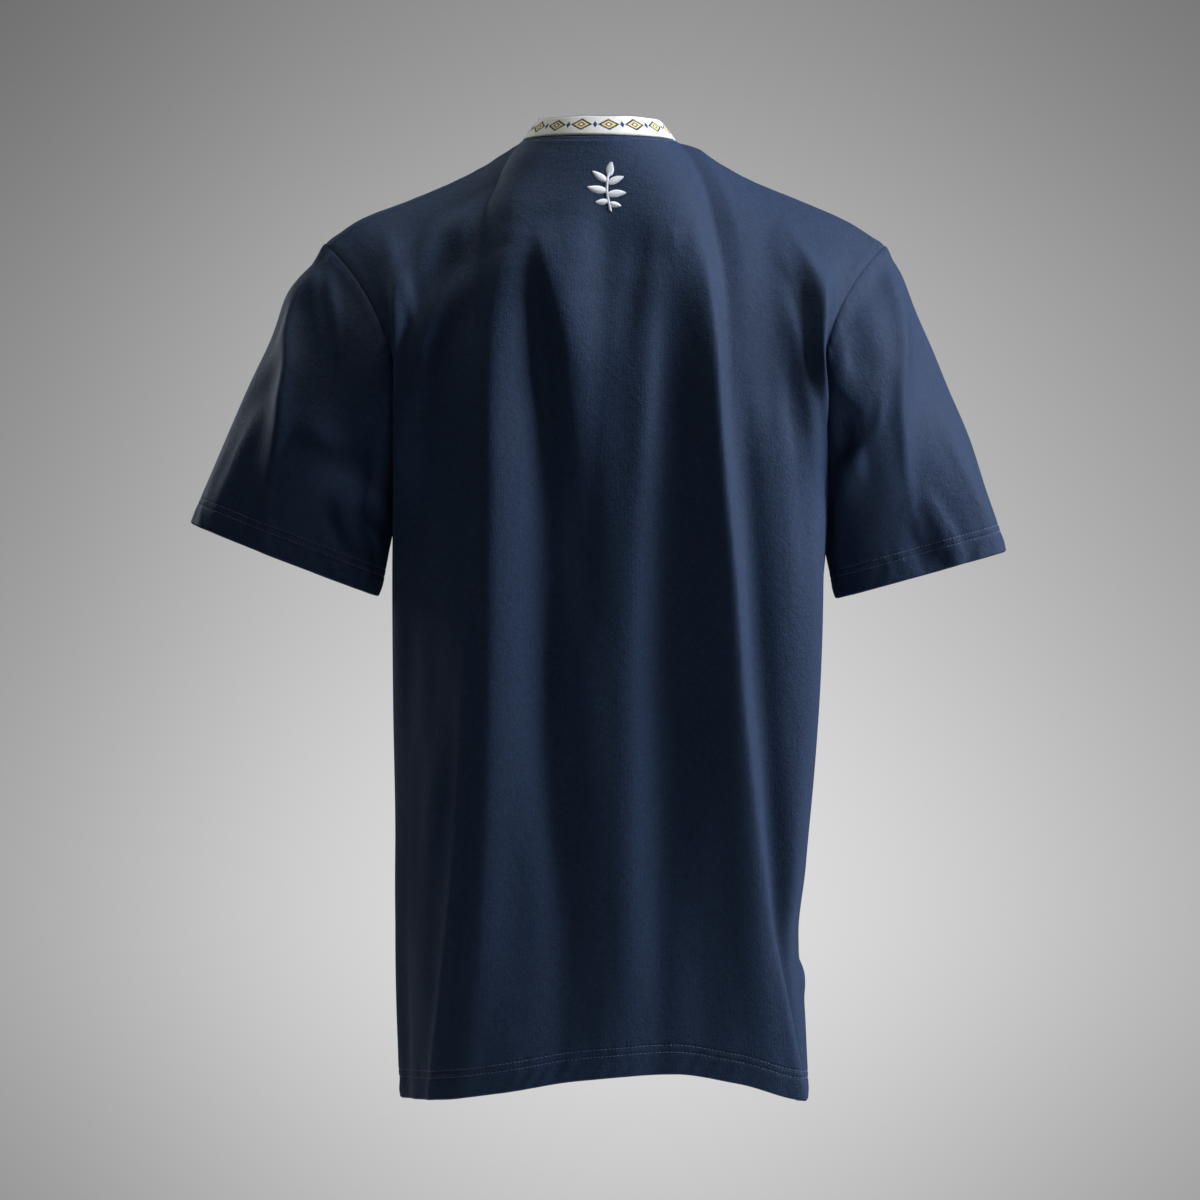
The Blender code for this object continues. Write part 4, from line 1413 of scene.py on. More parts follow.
RIGHT_SLEEVE_CREASES = (
    Fold(
        (
            (3, 8), (10, 20), (15, 34), (24, 51), (33, 68), (45, 79), (56, 93), (66, 112),
            (76, 134), (84, 162),
        ),
        (0, 3, 4.4, 5.0, 5.2, 5.0, 4.2, 3.0, 1.6, 0), (7, 7), 1.4,
    ),
    Fold(((23, 6), (31, 21)), (1.4, 0), (4, 4)),
    Fold(((84, 16), (60, 30), (38, 46)), (0, 1.8, 0), (4.5, 4.5)),
    Fold(((74, 12), (58, 22), (44, 30)), (0, 1.4, 0), (4, 4)),
    Fold(((98, 22), (102, 50), (124, 52)), (0, -3.4, 0), (8, 8)),
    Fold(((126, 52), (112, 72), (94, 84)), (0, 2.8, 0), (7, 7)),
    Fold(((58, 70), (72, 77), (86, 80)), (0, 1.6, 0), (4.5, 4.5)),
    Fold(((95, 150), (90, 180), (86, 204)), (0, -3.4, -2.4), (7, 7)),
    Fold(((83, 168), (79, 192), (74, 214)), (0, -2.8, -2.0), (6, 6)),
    Fold(((70, 150), (66, 180), (62, 220)), (0, 2.8, 2.2), (8, 8)),
    Fold(((20, 120), (26, 170), (24, 240)), (0, 2.8, 1.8), (9, 9)),
    Fold(((150, 60), (152, 92), (150, 124)), (0, 2.4, 0), (8, 8)),
    Fold(((316, 56), (302, 108), (298, 168)), (0, 2.2, 0), (8, 7)),
    Fold(((274, 44), (250, 72), (216, 80)), (0, -3.2, 0), (10, 10)),
    Fold(((238, 94), (228, 118), (222, 138)), (0, 2.4, 0), (8, 8)),
    Fold(((198, 30), (186, 60), (178, 96)), (0, 2.2, 0), (9, 9)),
)


# ---- cloth pieces

JERSEY_THICKNESS = 1.7
HEM_THICKNESS = 2.9
HEM_DEPTH = 25.4  # how far up the cloth is double
HEM_STITCHING = (16.4, 22.0)  # the two rows' distances from the hem's edge
NECK_STITCHING = 4.0  # from the collar's seam
UNDERARM_TURN = 180  # degrees round a sleeve from its top
SEAM_GAP = -0.06 * MM  # the edges lap by this much, so no light comes through


@dataclass(frozen=True)
class Pucker:
    """How sewn cloth ripples beside its stitching, in millimetres."""

    height: float
    waves: Pair  # its shortest and longest wave
    middle: float  # how far its middle lies from the edge
    width: float

    def relief(self, along: Array, from_edge: Array, seed: int) -> Array:
        """Millimetres at places along an edge and away from it."""
        return uneven(along, seed, self.waves) * self.height * bell(from_edge - self.middle, self.width)


NECK_PUCKER = Pucker(0.16, (6, 17), 5, 5)
SIDE_PUCKER = Pucker(0.24, (8, 24), 5, 7)
ARMHOLE_PUCKER = Pucker(0.22, (9, 26), 5, 7)
HEM_PUCKER = Pucker(0.20, (7, 19), 19.2, 9)
HEM_ROPING = Pucker(0.34, (11, 31), 8, 10)
ROPING_LEAN = 0.8  # how far the roping leans along the hem for each step up it
SEAM_DIP, SEAM_WIDTH = 0.85, 1.3
ALLOWANCE_RISE, ALLOWANCE_MIDDLE, ALLOWANCE_WIDTH = 0.30, 6.5, 2.4
HEM_ROW_DIP, HEM_ROW_WIDTH = 0.38, 0.9
HEM_SWELL, HEM_SWELL_WIDTH = 0.35, 16
NECK_ROW_DIP, NECK_ROW_WIDTH = 0.32, 0.8


def seam_relief(distance: Array) -> Array:
    """The dip at a seam and the faint ridge of the allowance pressed beside it."""
    ridge = ALLOWANCE_RISE * bell(distance - ALLOWANCE_MIDDLE, ALLOWANCE_WIDTH)
    return ridge - SEAM_DIP * bell(distance, SEAM_WIDTH)


def hem_relief(from_hem: Array, along: Array, seed: int) -> Array:
    """A turned hem: two sunk rows of stitching and the cloth's pucker round them.

    Args:
        from_hem: millimetres from the hem's edge.
        along: millimetres along the hem.
        seed: which pucker it is.

    Returns:
        Millimetres.
    """
    sunk = -HEM_ROW_DIP * sum(bell(from_hem - line, HEM_ROW_WIDTH) for line in HEM_STITCHING)
    pucker = HEM_PUCKER.relief(along, from_hem, seed)
    roping = HEM_ROPING.relief(along + ROPING_LEAN * from_hem, from_hem, seed + 1)
    swell = HEM_SWELL * bell(from_hem - HEM_PUCKER.middle, HEM_SWELL_WIDTH)
    return sunk + pucker + roping + swell


class SewnPiece:
    """What the panels and sleeves share: a folded cloth with a turned hem."""

    node: str
    cloth: Cloth
    hem_distance: Array

    def settle(self) -> None:
        """Works the normals out again once the cloth has its folds."""
        self.cloth.normals = self.cloth.fresh_normals()
        self.cloth.smooth_normals(2)

    def hem_rows(self) -> list[tuple[Array, Array]]:
        """Finds the two rows of hem stitching.

        Returns:
            The points and normals of each row.
        """
        rows = [self.cloth.contour(self.hem_distance, line) for line in HEM_STITCHING]
        if self.cloth.closed:
            return [(np.append(p, p[:1], axis=0), np.append(n, n[:1], axis=0)) for p, n in rows]
        return [(points[1:-1], normals[1:-1]) for points, normals in rows]

    def build(self, jersey: bpy.types.Material) -> bpy.types.Object:
        """Makes the piece and dresses it.

        Args:
            jersey: its finish.

        Returns:
            The object.
        """
        doubled = self.hem_distance < HEM_DEPTH
        thickness = JERSEY_THICKNESS + (HEM_THICKNESS - JERSEY_THICKNESS) * doubled
        piece = self.cloth.shell(f"{self.node}_cloth", thickness, SEAM_GAP)
        piece.data.materials.append(jersey)
        return piece


@dataclass
class BodyPanel(SewnPiece):
    """The shirt's back or front, from shoulder and neck seams to hem."""

    face: Face
    node: str
    form: BodyForm
    folds: tuple[Fold, ...]
    creases: tuple[Fold, ...]
    flanks: tuple[Fold, ...]
    seed: int
    flat: Pair = (0.56, 0.79)
    flat_area: float = 0.376
    neck_step: float = 2.9  # between columns at the neckline, in millimetres
    form_rounds: int = 40  # how often the form's normals are evened out
    foot_width: float = 9  # rows over which the yoke's foot is eased
    foot_rounds: int = 60
    foot_ease: float = 0.8  # how far each round takes a point to its neighbours' middle
    foot_fade: float = 0.10  # the share of a half panel over which that fades at its side
    side_fade: float = 0.07  # the same for the folds
    top_fade: float = 0.34  # the share of the yoke over which the folds begin
    swell: float = 0.7
    swell_across: Pair = (38, 95)
    swell_along: Pair = (150, 420)

    def __post_init__(self) -> None:
        """Lays out the grid and gives the cloth its folds."""
        neck = self.form.neck_share * self.form.half_arc
        inner = spaced(neck, self.neck_step)
        outer = spaced(self.form.half_arc - neck, STEP, far=SEAM_LINES) + neck
        half = np.concatenate([inner, outer[1:]]) / self.form.half_arc
        self.across = np.concatenate([-half[:0:-1], half])
        self.yoke = spaced(YOKE_RUN, STEP, near=TOP_LINES) / YOKE_RUN
        self.skirt = spaced(SKIRT_RUN, STEP)[1:] / SKIRT_RUN
        base = self.form.panel(
            self.face, self.across, self.yoke, self.skirt, np.array(HEM_LINES) * MM
        )
        self.foot = len(self.yoke) - 1
        place = np.broadcast_to(self.across * self.form.half_arc, base.shape[:2])
        self.chart = np.stack([place, base[:, :, 2] / MM], axis=2)
        self.cloth = Cloth(base, self.knit_places(base, place), self.face.value, False)
        self.cloth.smooth_normals(self.form_rounds)
        self.cloth.raise_by(self.fold_height())
        straight_back = relief(self.flanks, self.chart, (1, 1)) * self.face.value * MM
        self.cloth.points[:, :, 1] += straight_back
        self.ease_foot()
        self.settle()

    def ease_foot(self) -> None:
        """Eases the turn where the yoke meets the hanging part."""
        points = self.cloth.points
        rows = np.arange(len(points))
        near = np.exp(-(((rows - self.foot) / self.foot_width) ** 4))[1:-1, None, None]
        off_seam = ramp((1 - np.abs(self.across)) / self.foot_fade)[None, :, None]
        for _ in range(self.foot_rounds):
            middle = (points[:-2] + points[2:]) / 2
            points[1:-1] += (middle - points[1:-1]) * near * off_seam * self.foot_ease

    def knit_places(self, base: Array, place: Array) -> Array:
        """Finds where each point lies on the knit, whose columns run up the panel.

        Args:
            base: the face before its folds, (rows, columns, 3).
            place: millimetres across the panel.

        Returns:
            (rows, columns, 2) in metres.
        """
        rise = Cloth.run(base[: self.foot + 1][::-1])[::-1] * MM
        along = base[:, :, 2].copy()
        along[: self.foot + 1] = base[self.foot, :, 2] + rise
        return np.stack([place * MM, along], axis=2)

    def fold_height(self) -> Array:
        """Adds up the folds, creases and slow swells, which all end at the seams.

        Returns:
            Millimetres at each point.
        """
        height = relief(self.folds + self.creases, self.chart, (1, 1))
        height += self.swell * swells(self.chart, self.seed, self.swell_across, self.swell_along)
        height *= ramp((1 - np.abs(self.across)) / self.side_fade)
        share = np.concatenate([self.yoke, np.ones(len(height) - len(self.yoke))])
        return height * ramp(share / self.top_fade)[:, None]

    @property
    def neck_columns(self) -> Array:
        """The numbers of the columns that end at the neckline."""
        return np.flatnonzero(np.abs(self.across) <= self.form.neck_share + 1e-9)

    def add_seams(self) -> None:
        """Sinks the seams and rows of stitching, and puckers the cloth beside them."""
        cloth = self.cloth
        top, side, hem = cloth.from_top(), cloth.from_sides(), cloth.from_hem()
        at_neck = np.abs(self.across) < self.form.neck_share
        height = seam_relief(side) + seam_relief(top)
        height -= NECK_ROW_DIP * bell(top - NECK_STITCHING, NECK_ROW_WIDTH) * at_neck
        along, down = cloth.weave[:, :, 0] / MM, cloth.weave[:, :, 1] / MM
        height += NECK_PUCKER.relief(along, top, self.seed + 2)
        height += SIDE_PUCKER.relief(down, side, self.seed + 3)
        height += hem_relief(hem, along, self.seed + 4)
        cloth.raise_by(height)
        self.top_distance, self.hem_distance = cloth.from_top(), cloth.from_hem()

    def neck_row(self) -> tuple[Array, Array]:
        """The row of stitching beside the neckline, as points and normals."""
        points, normals = self.cloth.contour(self.top_distance, NECK_STITCHING)
        return points[self.neck_columns], normals[self.neck_columns]


@dataclass
class Sleeve(SewnPiece):
    """A short sleeve, from the armhole to its hem, as a tube."""

    arm: ArmSide
    back: BodyPanel
    front: BodyPanel
    folds: tuple[Fold, ...]
    creases: tuple[Fold, ...]
    seed: int
    flat: Pair = (0.46, 0.24)
    flat_area: float = 0.089
    per_degree: float = 1.3  # millimetres round the sleeve for each degree
    run: float = 210  # how long it is, roughly
    out_pull: float = 0.14  # how hard its cubics leave the armhole
    side_pull: float = 0.34
    down_pull: float = 0.85
    ridge_half_width: float = 22  # degrees from the top over which the shoulder's ridge is rounded
    ridge_start: float = 34  # millimetres below the armhole by which it is all rounded
    ridge_rounds: int = 60
    form_rounds: int = 30  # how often the form's normals are evened out
    half_width: float = 75
    top_fade: float = 30  # millimetres below the armhole over which the folds begin
    underarm_share: float = 0.8  # of a seam's relief, on the seam under the arm
    swell: float = 0.6
    swell_round: Pair = (34, 90)
    swell_down: Pair = (60, 190)

    def __post_init__(self) -> None:
        """Lays out the grid from the armhole's points and gives the cloth its folds."""
        self.node = self.arm.node
        self.edge_column = -1 if self.arm.hand is Hand.LEFT else 0
        rows = self.back.foot
        behind = self.back.cloth.points[: rows + 1, self.edge_column]
        before = self.front.cloth.points[rows - 1 : 0 : -1, self.edge_column]
        ring = np.concatenate([behind, before])
        before_turn = 360 - self.front.yoke[rows - 1 : 0 : -1] * 180
        turn = np.concatenate([self.back.yoke * 180, before_turn])
        base = self.rounded(self.form(ring, np.radians(turn)), turn)
        down = Cloth.run(base)
        turns = np.broadcast_to(turn, down.shape)
        self.chart = np.stack([turns, down], axis=2)
        weave = np.stack([turns * self.per_degree * MM, -down * MM], axis=2)
        self.cloth = Cloth(base, weave, -self.arm.hand.value, True)
        self.cloth.smooth_normals(self.form_rounds)
        self.cloth.raise_by(self.fold_height())
        self.settle()

    def form(self, ring: Array, turns: Array) -> Array:
        """Draws the outer face before its folds: cubics from the armhole to the hem.

        Args:
            ring: the armhole's points.
            turns: each point's angle round the sleeve, in radians.

        Returns:
            (rows, columns, 3).
        """
        arm, sign = self.arm, self.arm.hand.value
        outer, inner = np.array(arm.cuff_outer), np.array(arm.cuff_inner)
        middle, half = (outer + inner) / 2, (outer - inner) / 2
        out, height = middle[:, None] + half[:, None] * np.cos(turns)
        back = arm.cuff_middle + arm.cuff_half_depth * np.sin(turns)
        cuff = np.stack([sign * out, back, height], axis=1) * MM
        reach = np.linalg.norm(cuff - ring, axis=1)[:, None]
        outward = sign * (arm.lift - self.out_pull * (1 - np.cos(turns)) / 2)
        down = np.full_like(turns, -self.down_pull)
        leaving = np.stack([outward, self.side_pull * np.sin(turns), down], axis=1)
        run = unit(outer - inner)
        arriving = np.array([sign * run[1], 0, -run[0]])
        share = self.back.form.hem_width / reach
        shares = spaced(self.run, STEP, near=SEAM_LINES) / self.run
        rows = [t * (1 - share) for t in shares]
        rows += [1 - line * MM / reach for line in HEM_LINES]
        return np.array([hermite(ring, cuff, leaving * reach, arriving * reach, t) for t in rows])

    def rounded(self, points: Array, turn: Array) -> Array:
        """The form with the shoulder's ridge rounded off below the armhole.

        Args:
            points: (rows, columns, 3).
            turn: degrees round the sleeve, for each column.

        Returns:
            The points.
        """
        from_top = np.minimum(turn, 360 - turn)
        near = np.exp(-((from_top / self.ridge_half_width) ** 4))[None, :, None]
        eased = points.copy()
        share = ramp(Cloth.run(points) / self.ridge_start)[:, :, None] * near * 0.9
        for _ in range(self.ridge_rounds):
            between = (np.roll(eased, 1, axis=1) + np.roll(eased, -1, axis=1)) / 2
            eased += (between - eased) * share
        top = np.argmin(from_top)
        return eased + (points - eased)[:, top : top + 1] * near

    def fold_height(self) -> Array:
        """Adds up the folds, creases and slow swells, which begin below the armhole.

        Returns:
            Millimetres at each point.
        """
        height = np.zeros(self.chart.shape[:2])
        for lap in (-360, 0):
            moved = self.chart + np.array([lap, 0])
            height += relief(self.folds + self.creases, moved, (self.per_degree, 1))
        turn = np.radians(self.chart[:, :, 0])
        round_arm, down_arm = np.sin(turn) * self.half_width, np.cos(turn) * self.half_width
        places = np.stack([round_arm, self.chart[:, :, 1] + down_arm], axis=2)
        height += self.swell * swells(places, self.seed, self.swell_round, self.swell_down)
        return height * ramp(self.chart[:, :, 1] / self.top_fade)

    def add_seams(self) -> None:
        """Sinks the armhole seam, the underarm seam and the hem's stitching."""
        cloth = self.cloth
        top, hem = cloth.from_top(), cloth.from_hem()
        turn = self.chart[:, :, 0]
        from_underarm = np.abs(turn - UNDERARM_TURN) * self.per_degree
        height = seam_relief(top) + seam_relief(from_underarm) * self.underarm_share
        around = turn * self.per_degree
        height += ARMHOLE_PUCKER.relief(around, top, self.seed + 2)
        height += hem_relief(hem, around, self.seed + 4)
        cloth.raise_by(height)
        self.hem_distance = cloth.from_hem()


@dataclass
class CollarBand:
    """The jacquard band, which stands on the neckline and leans towards the neck."""

    back: BodyPanel
    front: BodyPanel
    node: str = "collar_band"
    height: float = 20.0
    thickness: float = 2.6
    foot: float = 0.4  # how far it starts above the neckline
    bulge: float = 0.12  # of its outer face, as a share of its thickness
    lean_back: float = 30.0  # degrees
    lean_front: float = 52.0
    repeat: float = 25 * MM  # of the pattern
    ripples: tuple = ((0.45, 5, 0.6), (0.35, 11, 2.0))  # of its top: (height, number, phase)
    sway: tuple = (0.35, 7, 1.0)  # of its top, in and out
    join: tuple = (1.3, 16, 6)  # the rise at its own seam: (height, place, width)
    flat: Pair = (0.42, 0.022)

    def __post_init__(self) -> None:
        """Sets out the neckline and the band's own directions along it."""
        behind = self.back.neck_columns[::-1]
        before = self.front.neck_columns[1:-1]
        edges = [self.back.cloth.points[0, behind], self.front.cloth.points[0, before]]
        ring = np.concatenate(edges)
        self.ring, self.behind, self.before = ring, behind, before
        inward = unit((ring.mean(axis=0) - ring) * (1, 1, 0))
        along = unit(np.roll(ring, -1, axis=0) - np.roll(ring, 1, axis=0))
        to_front = (ring[:, 1].max() - ring[:, 1]) / np.ptp(ring[:, 1])
        lean = self.lean_back + (self.lean_front - self.lean_back) * ramp(to_front)
        lean = np.radians(lean)[:, None]
        rising = inward * np.sin(lean) + np.array([0, 0, 1]) * np.cos(lean)
        self.rising = unit(rising - along * np.sum(rising * along, axis=1, keepdims=True))
        outward = np.cross(self.rising, along)
        self.outward = outward * np.sign(-np.sum(outward * inward, axis=1, keepdims=True))
        self.normals = self.outward.copy()

    def section(self) -> Array:
        """Draws the band's section from its foot over the top to its inside.

        Returns:
            (rows, 2), up and out in millimetres.
        """
        t, h = self.thickness, self.height
        rise = np.linspace(self.foot, h - t / 2, 11)
        outer = [(up, self.bulge * t * math.sin(math.pi * up / h) ** 0.5) for up in rise]
        turn = np.linspace(0, math.pi, 7)[1:-1]
        top = [(h - t / 2 + t / 2 * math.sin(a), -t / 2 + t / 2 * math.cos(a)) for a in turn]
        inner = [(up, -t + 0.05 * t) for up in rise[::-1]]
        return np.array(outer + top + inner)

    def build(self, jacquard: bpy.types.Material) -> bpy.types.Object:
        """Makes the piece and dresses it.

        Args:
            jacquard: its finish.

        Returns:
            The object.
        """
        section = self.section()
        steps = np.linalg.norm(np.roll(self.ring, -1, axis=0) - self.ring, axis=1)
        along = np.concatenate([[0], np.cumsum(steps)])
        lines = self.lines(section, along[:-1], along[-1])
        walk = np.linalg.norm(np.diff(section, axis=0), axis=1)
        climb = np.concatenate([[0], np.cumsum(walk)]) * MM
        whole_repeats = round(along[-1] / self.repeat)
        across = along / along[-1] * whole_repeats * self.repeat
        weave = np.stack(np.broadcast_arrays(across[None], climb[:, None]), axis=2)
        lap = np.concatenate([lines, lines[:, :1]], axis=1)
        piece = make_tube(f"{self.node}_cloth", lap, weave)
        piece.data.materials.append(jacquard)
        return piece

    def lines(self, section: Array, along: Array, length: float) -> Array:
        """The section carried along the neckline, a little uneven as it stands.

        Args:
            section: (rows, 2), up and out in millimetres.
            along: metres along the neckline, for each of its points.
            length: the neckline's whole length.

        Returns:
            (rows, columns, 3).
        """
        turn = along / length * 2 * math.pi
        wave = sum(rise * np.sin(turn * number + phase) for rise, number, phase in self.ripples)
        wave += self.join[0] * bell(along / MM - self.join[1], self.join[2])
        swayed = self.sway[0] * np.sin(turn * self.sway[1] + self.sway[2])
        up_share = (section[:, 0] / self.height)[:, None]
        up = section[:, :1] + up_share**2 * wave
        out = section[:, 1:] + up_share * swayed
        raised, moved_out = up[:, :, None] * MM * self.rising, out[:, :, None] * MM * self.outward
        lines = self.ring + raised + moved_out
        lines[0] = self.ring + self.rising * (self.foot * MM)
        lines[-1] = lines[0] - self.normals * self.thickness * MM
        return lines


def share_normals(first: Array, places: tuple, second: Array, other_places: tuple) -> None:
    """Gives two pieces one normal along their seam, so that their edges stay together.

    Args:
        first: the first piece's normals.
        places: where the seam lies on it.
        second: the second piece's normals.
        other_places: where the seam lies on it.
    """
    shared = unit(first[places] + second[other_places])
    first[places] = shared
    second[other_places] = shared


# ---- sewing and embroidery


@dataclass
class ThreadWork:
    """Short lengths of thread, all of one material, joined in one mesh."""

    name: str
    radius: float
    sides: int = 5
    points: list[Array] = field(default_factory=list)
    quads: list[Array] = field(default_factory=list)
    fans: list[Array] = field(default_factory=list)
    weave: list[Array] = field(default_factory=list)
    count: int = 0

    def lay(self, lines: Array, normals: Array, profile: Array) -> None:
        """Adds many lengths of thread at once.

        Args:
            lines: (lengths, stations, 3), the middle of each thread.
            normals: (lengths, stations, 3), away from the cloth.
            profile: (stations,), the thread's radius as a share of the full one.
        """
        lengths = len(lines)
        along = unit(np.gradient(lines, axis=1))
        side = unit(np.cross(along, normals))
        out = np.cross(side, along)
        angle = np.linspace(0, 2 * math.pi, self.sides, endpoint=False)
        reach = self.radius * profile[None, :, None, None]
        rings = lines[:, :, None] + reach * (
            np.cos(angle)[:, None] * side[:, :, None] + np.sin(angle)[:, None] * out[:, :, None]
        )
        number = self.count + np.arange(rings[..., 0].size).reshape(rings.shape[:3])
        beside = np.roll(number, -1, axis=2)
        quads = np.stack([number[:, :-1], beside[:, :-1], beside[:, 1:], number[:, 1:]], axis=3)
        self.quads.append(quads.reshape(-1, 4))
        for ring, turn in ((number[:, 0], -1), (number[:, -1], 1)):
            for k in range(1, self.sides - 1):
                fan = np.stack([ring[:, 0], ring[:, k], ring[:, k + 1]], axis=1)
                self.fans.append(fan[:, ::turn])
        steps = np.linalg.norm(np.diff(lines, axis=1), axis=2)
        walk = np.concatenate([np.zeros((lengths, 1)), np.cumsum(steps, axis=1)], axis=1)
        weave = np.stack(np.broadcast_arrays(angle / (2 * math.pi), walk[:, :, None]), axis=3)
        self.weave.append(weave.reshape(-1, 2))
        self.points.append(rings.reshape(-1, 3))
        self.count += number.size

    def build(self, material: bpy.types.Material) -> bpy.types.Object:
        """Makes the piece and dresses it.

        Args:
            material: its finish.

        Returns:
            The object.
        """
        faces = [np.concatenate(self.quads), np.concatenate(self.fans)]
        points, weave = np.concatenate(self.points), np.concatenate(self.weave)
        piece = make_object(self.name, points, faces, weave)
        piece.data.materials.append(material)
        return piece


@dataclass
class Stitching:
    """Rows of machine stitching along lines on the cloth."""

    name: str
    pitch: float = 3.0 * MM
    length: float = 2.5 * MM
    radius: float = 0.30 * MM
    seed: int = 5
    shares: tuple = (0.0, 0.22, 0.5, 0.78, 1.0)  # places along a stitch
    heights: tuple = (-0.9, 0.35, 0.75, 0.35, -0.9)  # its middle there, in radii above the cloth
    widths: tuple = (0.55, 0.95, 1.0, 0.95, 0.55)  # its thickness there
    depths: Pair = (-0.9, 0.35)  # how far a stitch may lie in or out, in radii
    stray: float = 0.04  # of its start, as a share of the pitch
    skew: float = 0.05  # of its ends, as a share of its length

    def build(
        self, rows: list[tuple[Array, Array]], thread: bpy.types.Material
    ) -> bpy.types.Object:
        """Sews the rows.

        Args:
            rows: points and normals of each row.
            thread: the thread's finish.

        Returns:
            The object.
        """
        work = ThreadWork(self.name, self.radius)
        draw = np.random.default_rng(self.seed)
        shares, heights = np.array(self.shares), np.array(self.heights) * self.radius
        for points, normals in rows:
            steps = np.linalg.norm(np.diff(points, axis=0), axis=1)
            walked = np.concatenate([[0], np.cumsum(steps)])
            count = int(walked[-1] / self.pitch)
            starts = (np.arange(count) + 0.1) * walked[-1] / count
            starts += draw.normal(0, self.stray, count) * self.pitch
            places = starts[:, None] + shares * self.length
            lines, out = (
                np.stack([np.interp(places, walked, values[:, a]) for a in range(3)], axis=2)
                for values in (points, normals)
            )
            out = unit(out)
            skew = draw.normal(0, self.skew, count)[:, None, None] * self.length
            lift = heights + draw.uniform(*self.depths, count)[:, None] * self.radius
            side = unit(np.cross(np.gradient(lines, axis=1), out))
            lines = lines + out * lift[:, :, None] + side * skew * (shares - 0.5)[None, :, None]
            work.lay(lines, out, np.array(self.widths))
        return work.build(thread)


@dataclass
class Leaf:
    """One leaf of the sprig, in millimetres from the sprig's middle."""

    foot: Pair
    tip: Pair
    half_width: float


@dataclass
class Sprig:
    """A small leaf sprig in raised satin stitch on the upper back."""

    panel: BodyPanel
    name: str = "leaf_sprig_embroidery"
    middle: Pair = (-2.5 * MM, -41.5 * MM)  # X and Z
    radius: float = 0.27 * MM
    pitch: float = 0.40  # millimetres between threads
    crown: float = 1.0 * MM
    stem: tuple = ((2.5, -20.5), (0.8, -12), (-0.4, -3), (0.2, 6), (1.4, 11))
    stem_half_width: float = 1.0
    stem_threads: int = 74
    narrowest: float = 0.25  # half a thread's length at a leaf's ends
    slant: float = 0.45  # of a leaf's threads, as a share of their half length
    leaves: tuple[Leaf, ...] = (
        Leaf((1.2, 8.5), (3.4, 20.5), 3.3),
        Leaf((-0.2, 3.5), (-12.0, 12.5), 3.1),
        Leaf((0.2, 2.5), (13.0, 8.0), 3.1),
        Leaf((-0.2, -4.5), (-16.0, -1.0), 3.4),
        Leaf((-0.2, -6.5), (15.0, -5.5), 3.3),
        Leaf((0.9, -12.5), (-9.5, -13.5), 2.6),
        Leaf((1.0, -14.0), (11.0, -16.5), 2.5),
    )

    def __post_init__(self) -> None:
        """Keeps the panel's face to lay the threads on."""
        points = self.panel.cloth.points
        quads = wrapped_grid(points)[1].reshape(len(points), -1, 4)[:-1]
        self.ground = BVHTree.FromPolygons(
            points.reshape(-1, 3).tolist(), quads.reshape(-1, 4).tolist()
        )

    def on_cloth(self, place: Pair) -> tuple[Array, Array]:
        """Finds the cloth behind a place on the sprig.

        Args:
            place: millimetres from the sprig's middle, to the right and up.

        Returns:
            The point and normal there.
        """
        x = self.middle[0] - place[0] * MM
        z = self.middle[1] + place[1] * MM
        hit, normal, _, _ = self.ground.ray_cast(Vector((x, 1, z)), Vector((0, -1, 0)))
        outward = normal if normal.y > 0 else -normal
        return np.array(hit), np.array(outward)

    def bar(self, start: Array, end: Array, height: float) -> tuple[Array, Array]:
        """Lays one satin thread from edge to edge, arched over the padding below it.

        Args:
            start: one end, on the sprig.
            end: the other end.
            height: the arch's height, in metres.

        Returns:
            The thread's points and normals.
        """
        shares = np.array([0.0, 0.12, 0.34, 0.66, 0.88, 1.0])
        arch = np.array([-0.25, 0.42, 0.94, 0.94, 0.42, -0.25])
        points, normals = zip(*(self.on_cloth(start + (end - start) * s) for s in shares))
        normals = np.array(normals)
        return np.array(points) + normals * (arch * height)[:, None], normals

    def leaf_bars(self, leaf: Leaf) -> list[tuple[Array, Array]]:
        """Lays the threads of one leaf, slanted from its vein.

        Args:
            leaf: the leaf.

        Returns:
            The points and normals of each thread.
        """
        foot, tip = np.array(leaf.foot, float), np.array(leaf.tip, float)
        run = tip - foot
        length = float(np.linalg.norm(run))
        forward = run / length
        side = np.array([-forward[1], forward[0]])
        bars = []
        for walked in np.arange(0.4, length - 0.2, self.pitch):
            share = walked / length
            half = leaf.half_width * math.sin(math.pi * share**0.80) ** 0.75
            if half < self.narrowest:
                continue
            middle = foot + forward * walked
            reach = side * half + forward * (self.slant * half) * 0.5
            height = self.crown * (0.35 + 0.65 * half / leaf.half_width)
            bars.append(self.bar(middle - reach, middle + reach, height))
        return bars

    def stem_bars(self) -> list[tuple[Array, Array]]:
        """Lays the threads of the stem.

        Returns:
            The points and normals of each thread.
        """
        knots = np.linspace(0, 1, len(self.stem))
        path = np.array(self.stem, float)
        shares = np.linspace(0, 1, self.stem_threads)
        line = np.stack([smooth_through(knots, path[:, a], shares) for a in (0, 1)], axis=1)
        forward = unit(np.gradient(line, axis=0))
        side = np.stack([-forward[:, 1], forward[:, 0]], axis=1) * self.stem_half_width
        reach = side + forward * 0.5
        return [self.bar(p - r, p + r, 0.9 * self.crown) for p, r in zip(line, reach)]

    def build(self, thread: bpy.types.Material) -> bpy.types.Object:
        """Makes the piece and dresses it.

        Args:
            thread: its finish.

        Returns:
            The object.
        """
        work = ThreadWork(self.name, self.radius)
        bars = self.stem_bars()
        for leaf in self.leaves:
            bars += self.leaf_bars(leaf)
        lines, normals = (np.array(part) for part in zip(*bars))
        work.lay(lines, normals, np.array([0.7, 1.0, 1.0, 1.0, 1.0, 0.7]))
        return work.build(thread)


# ---- studio


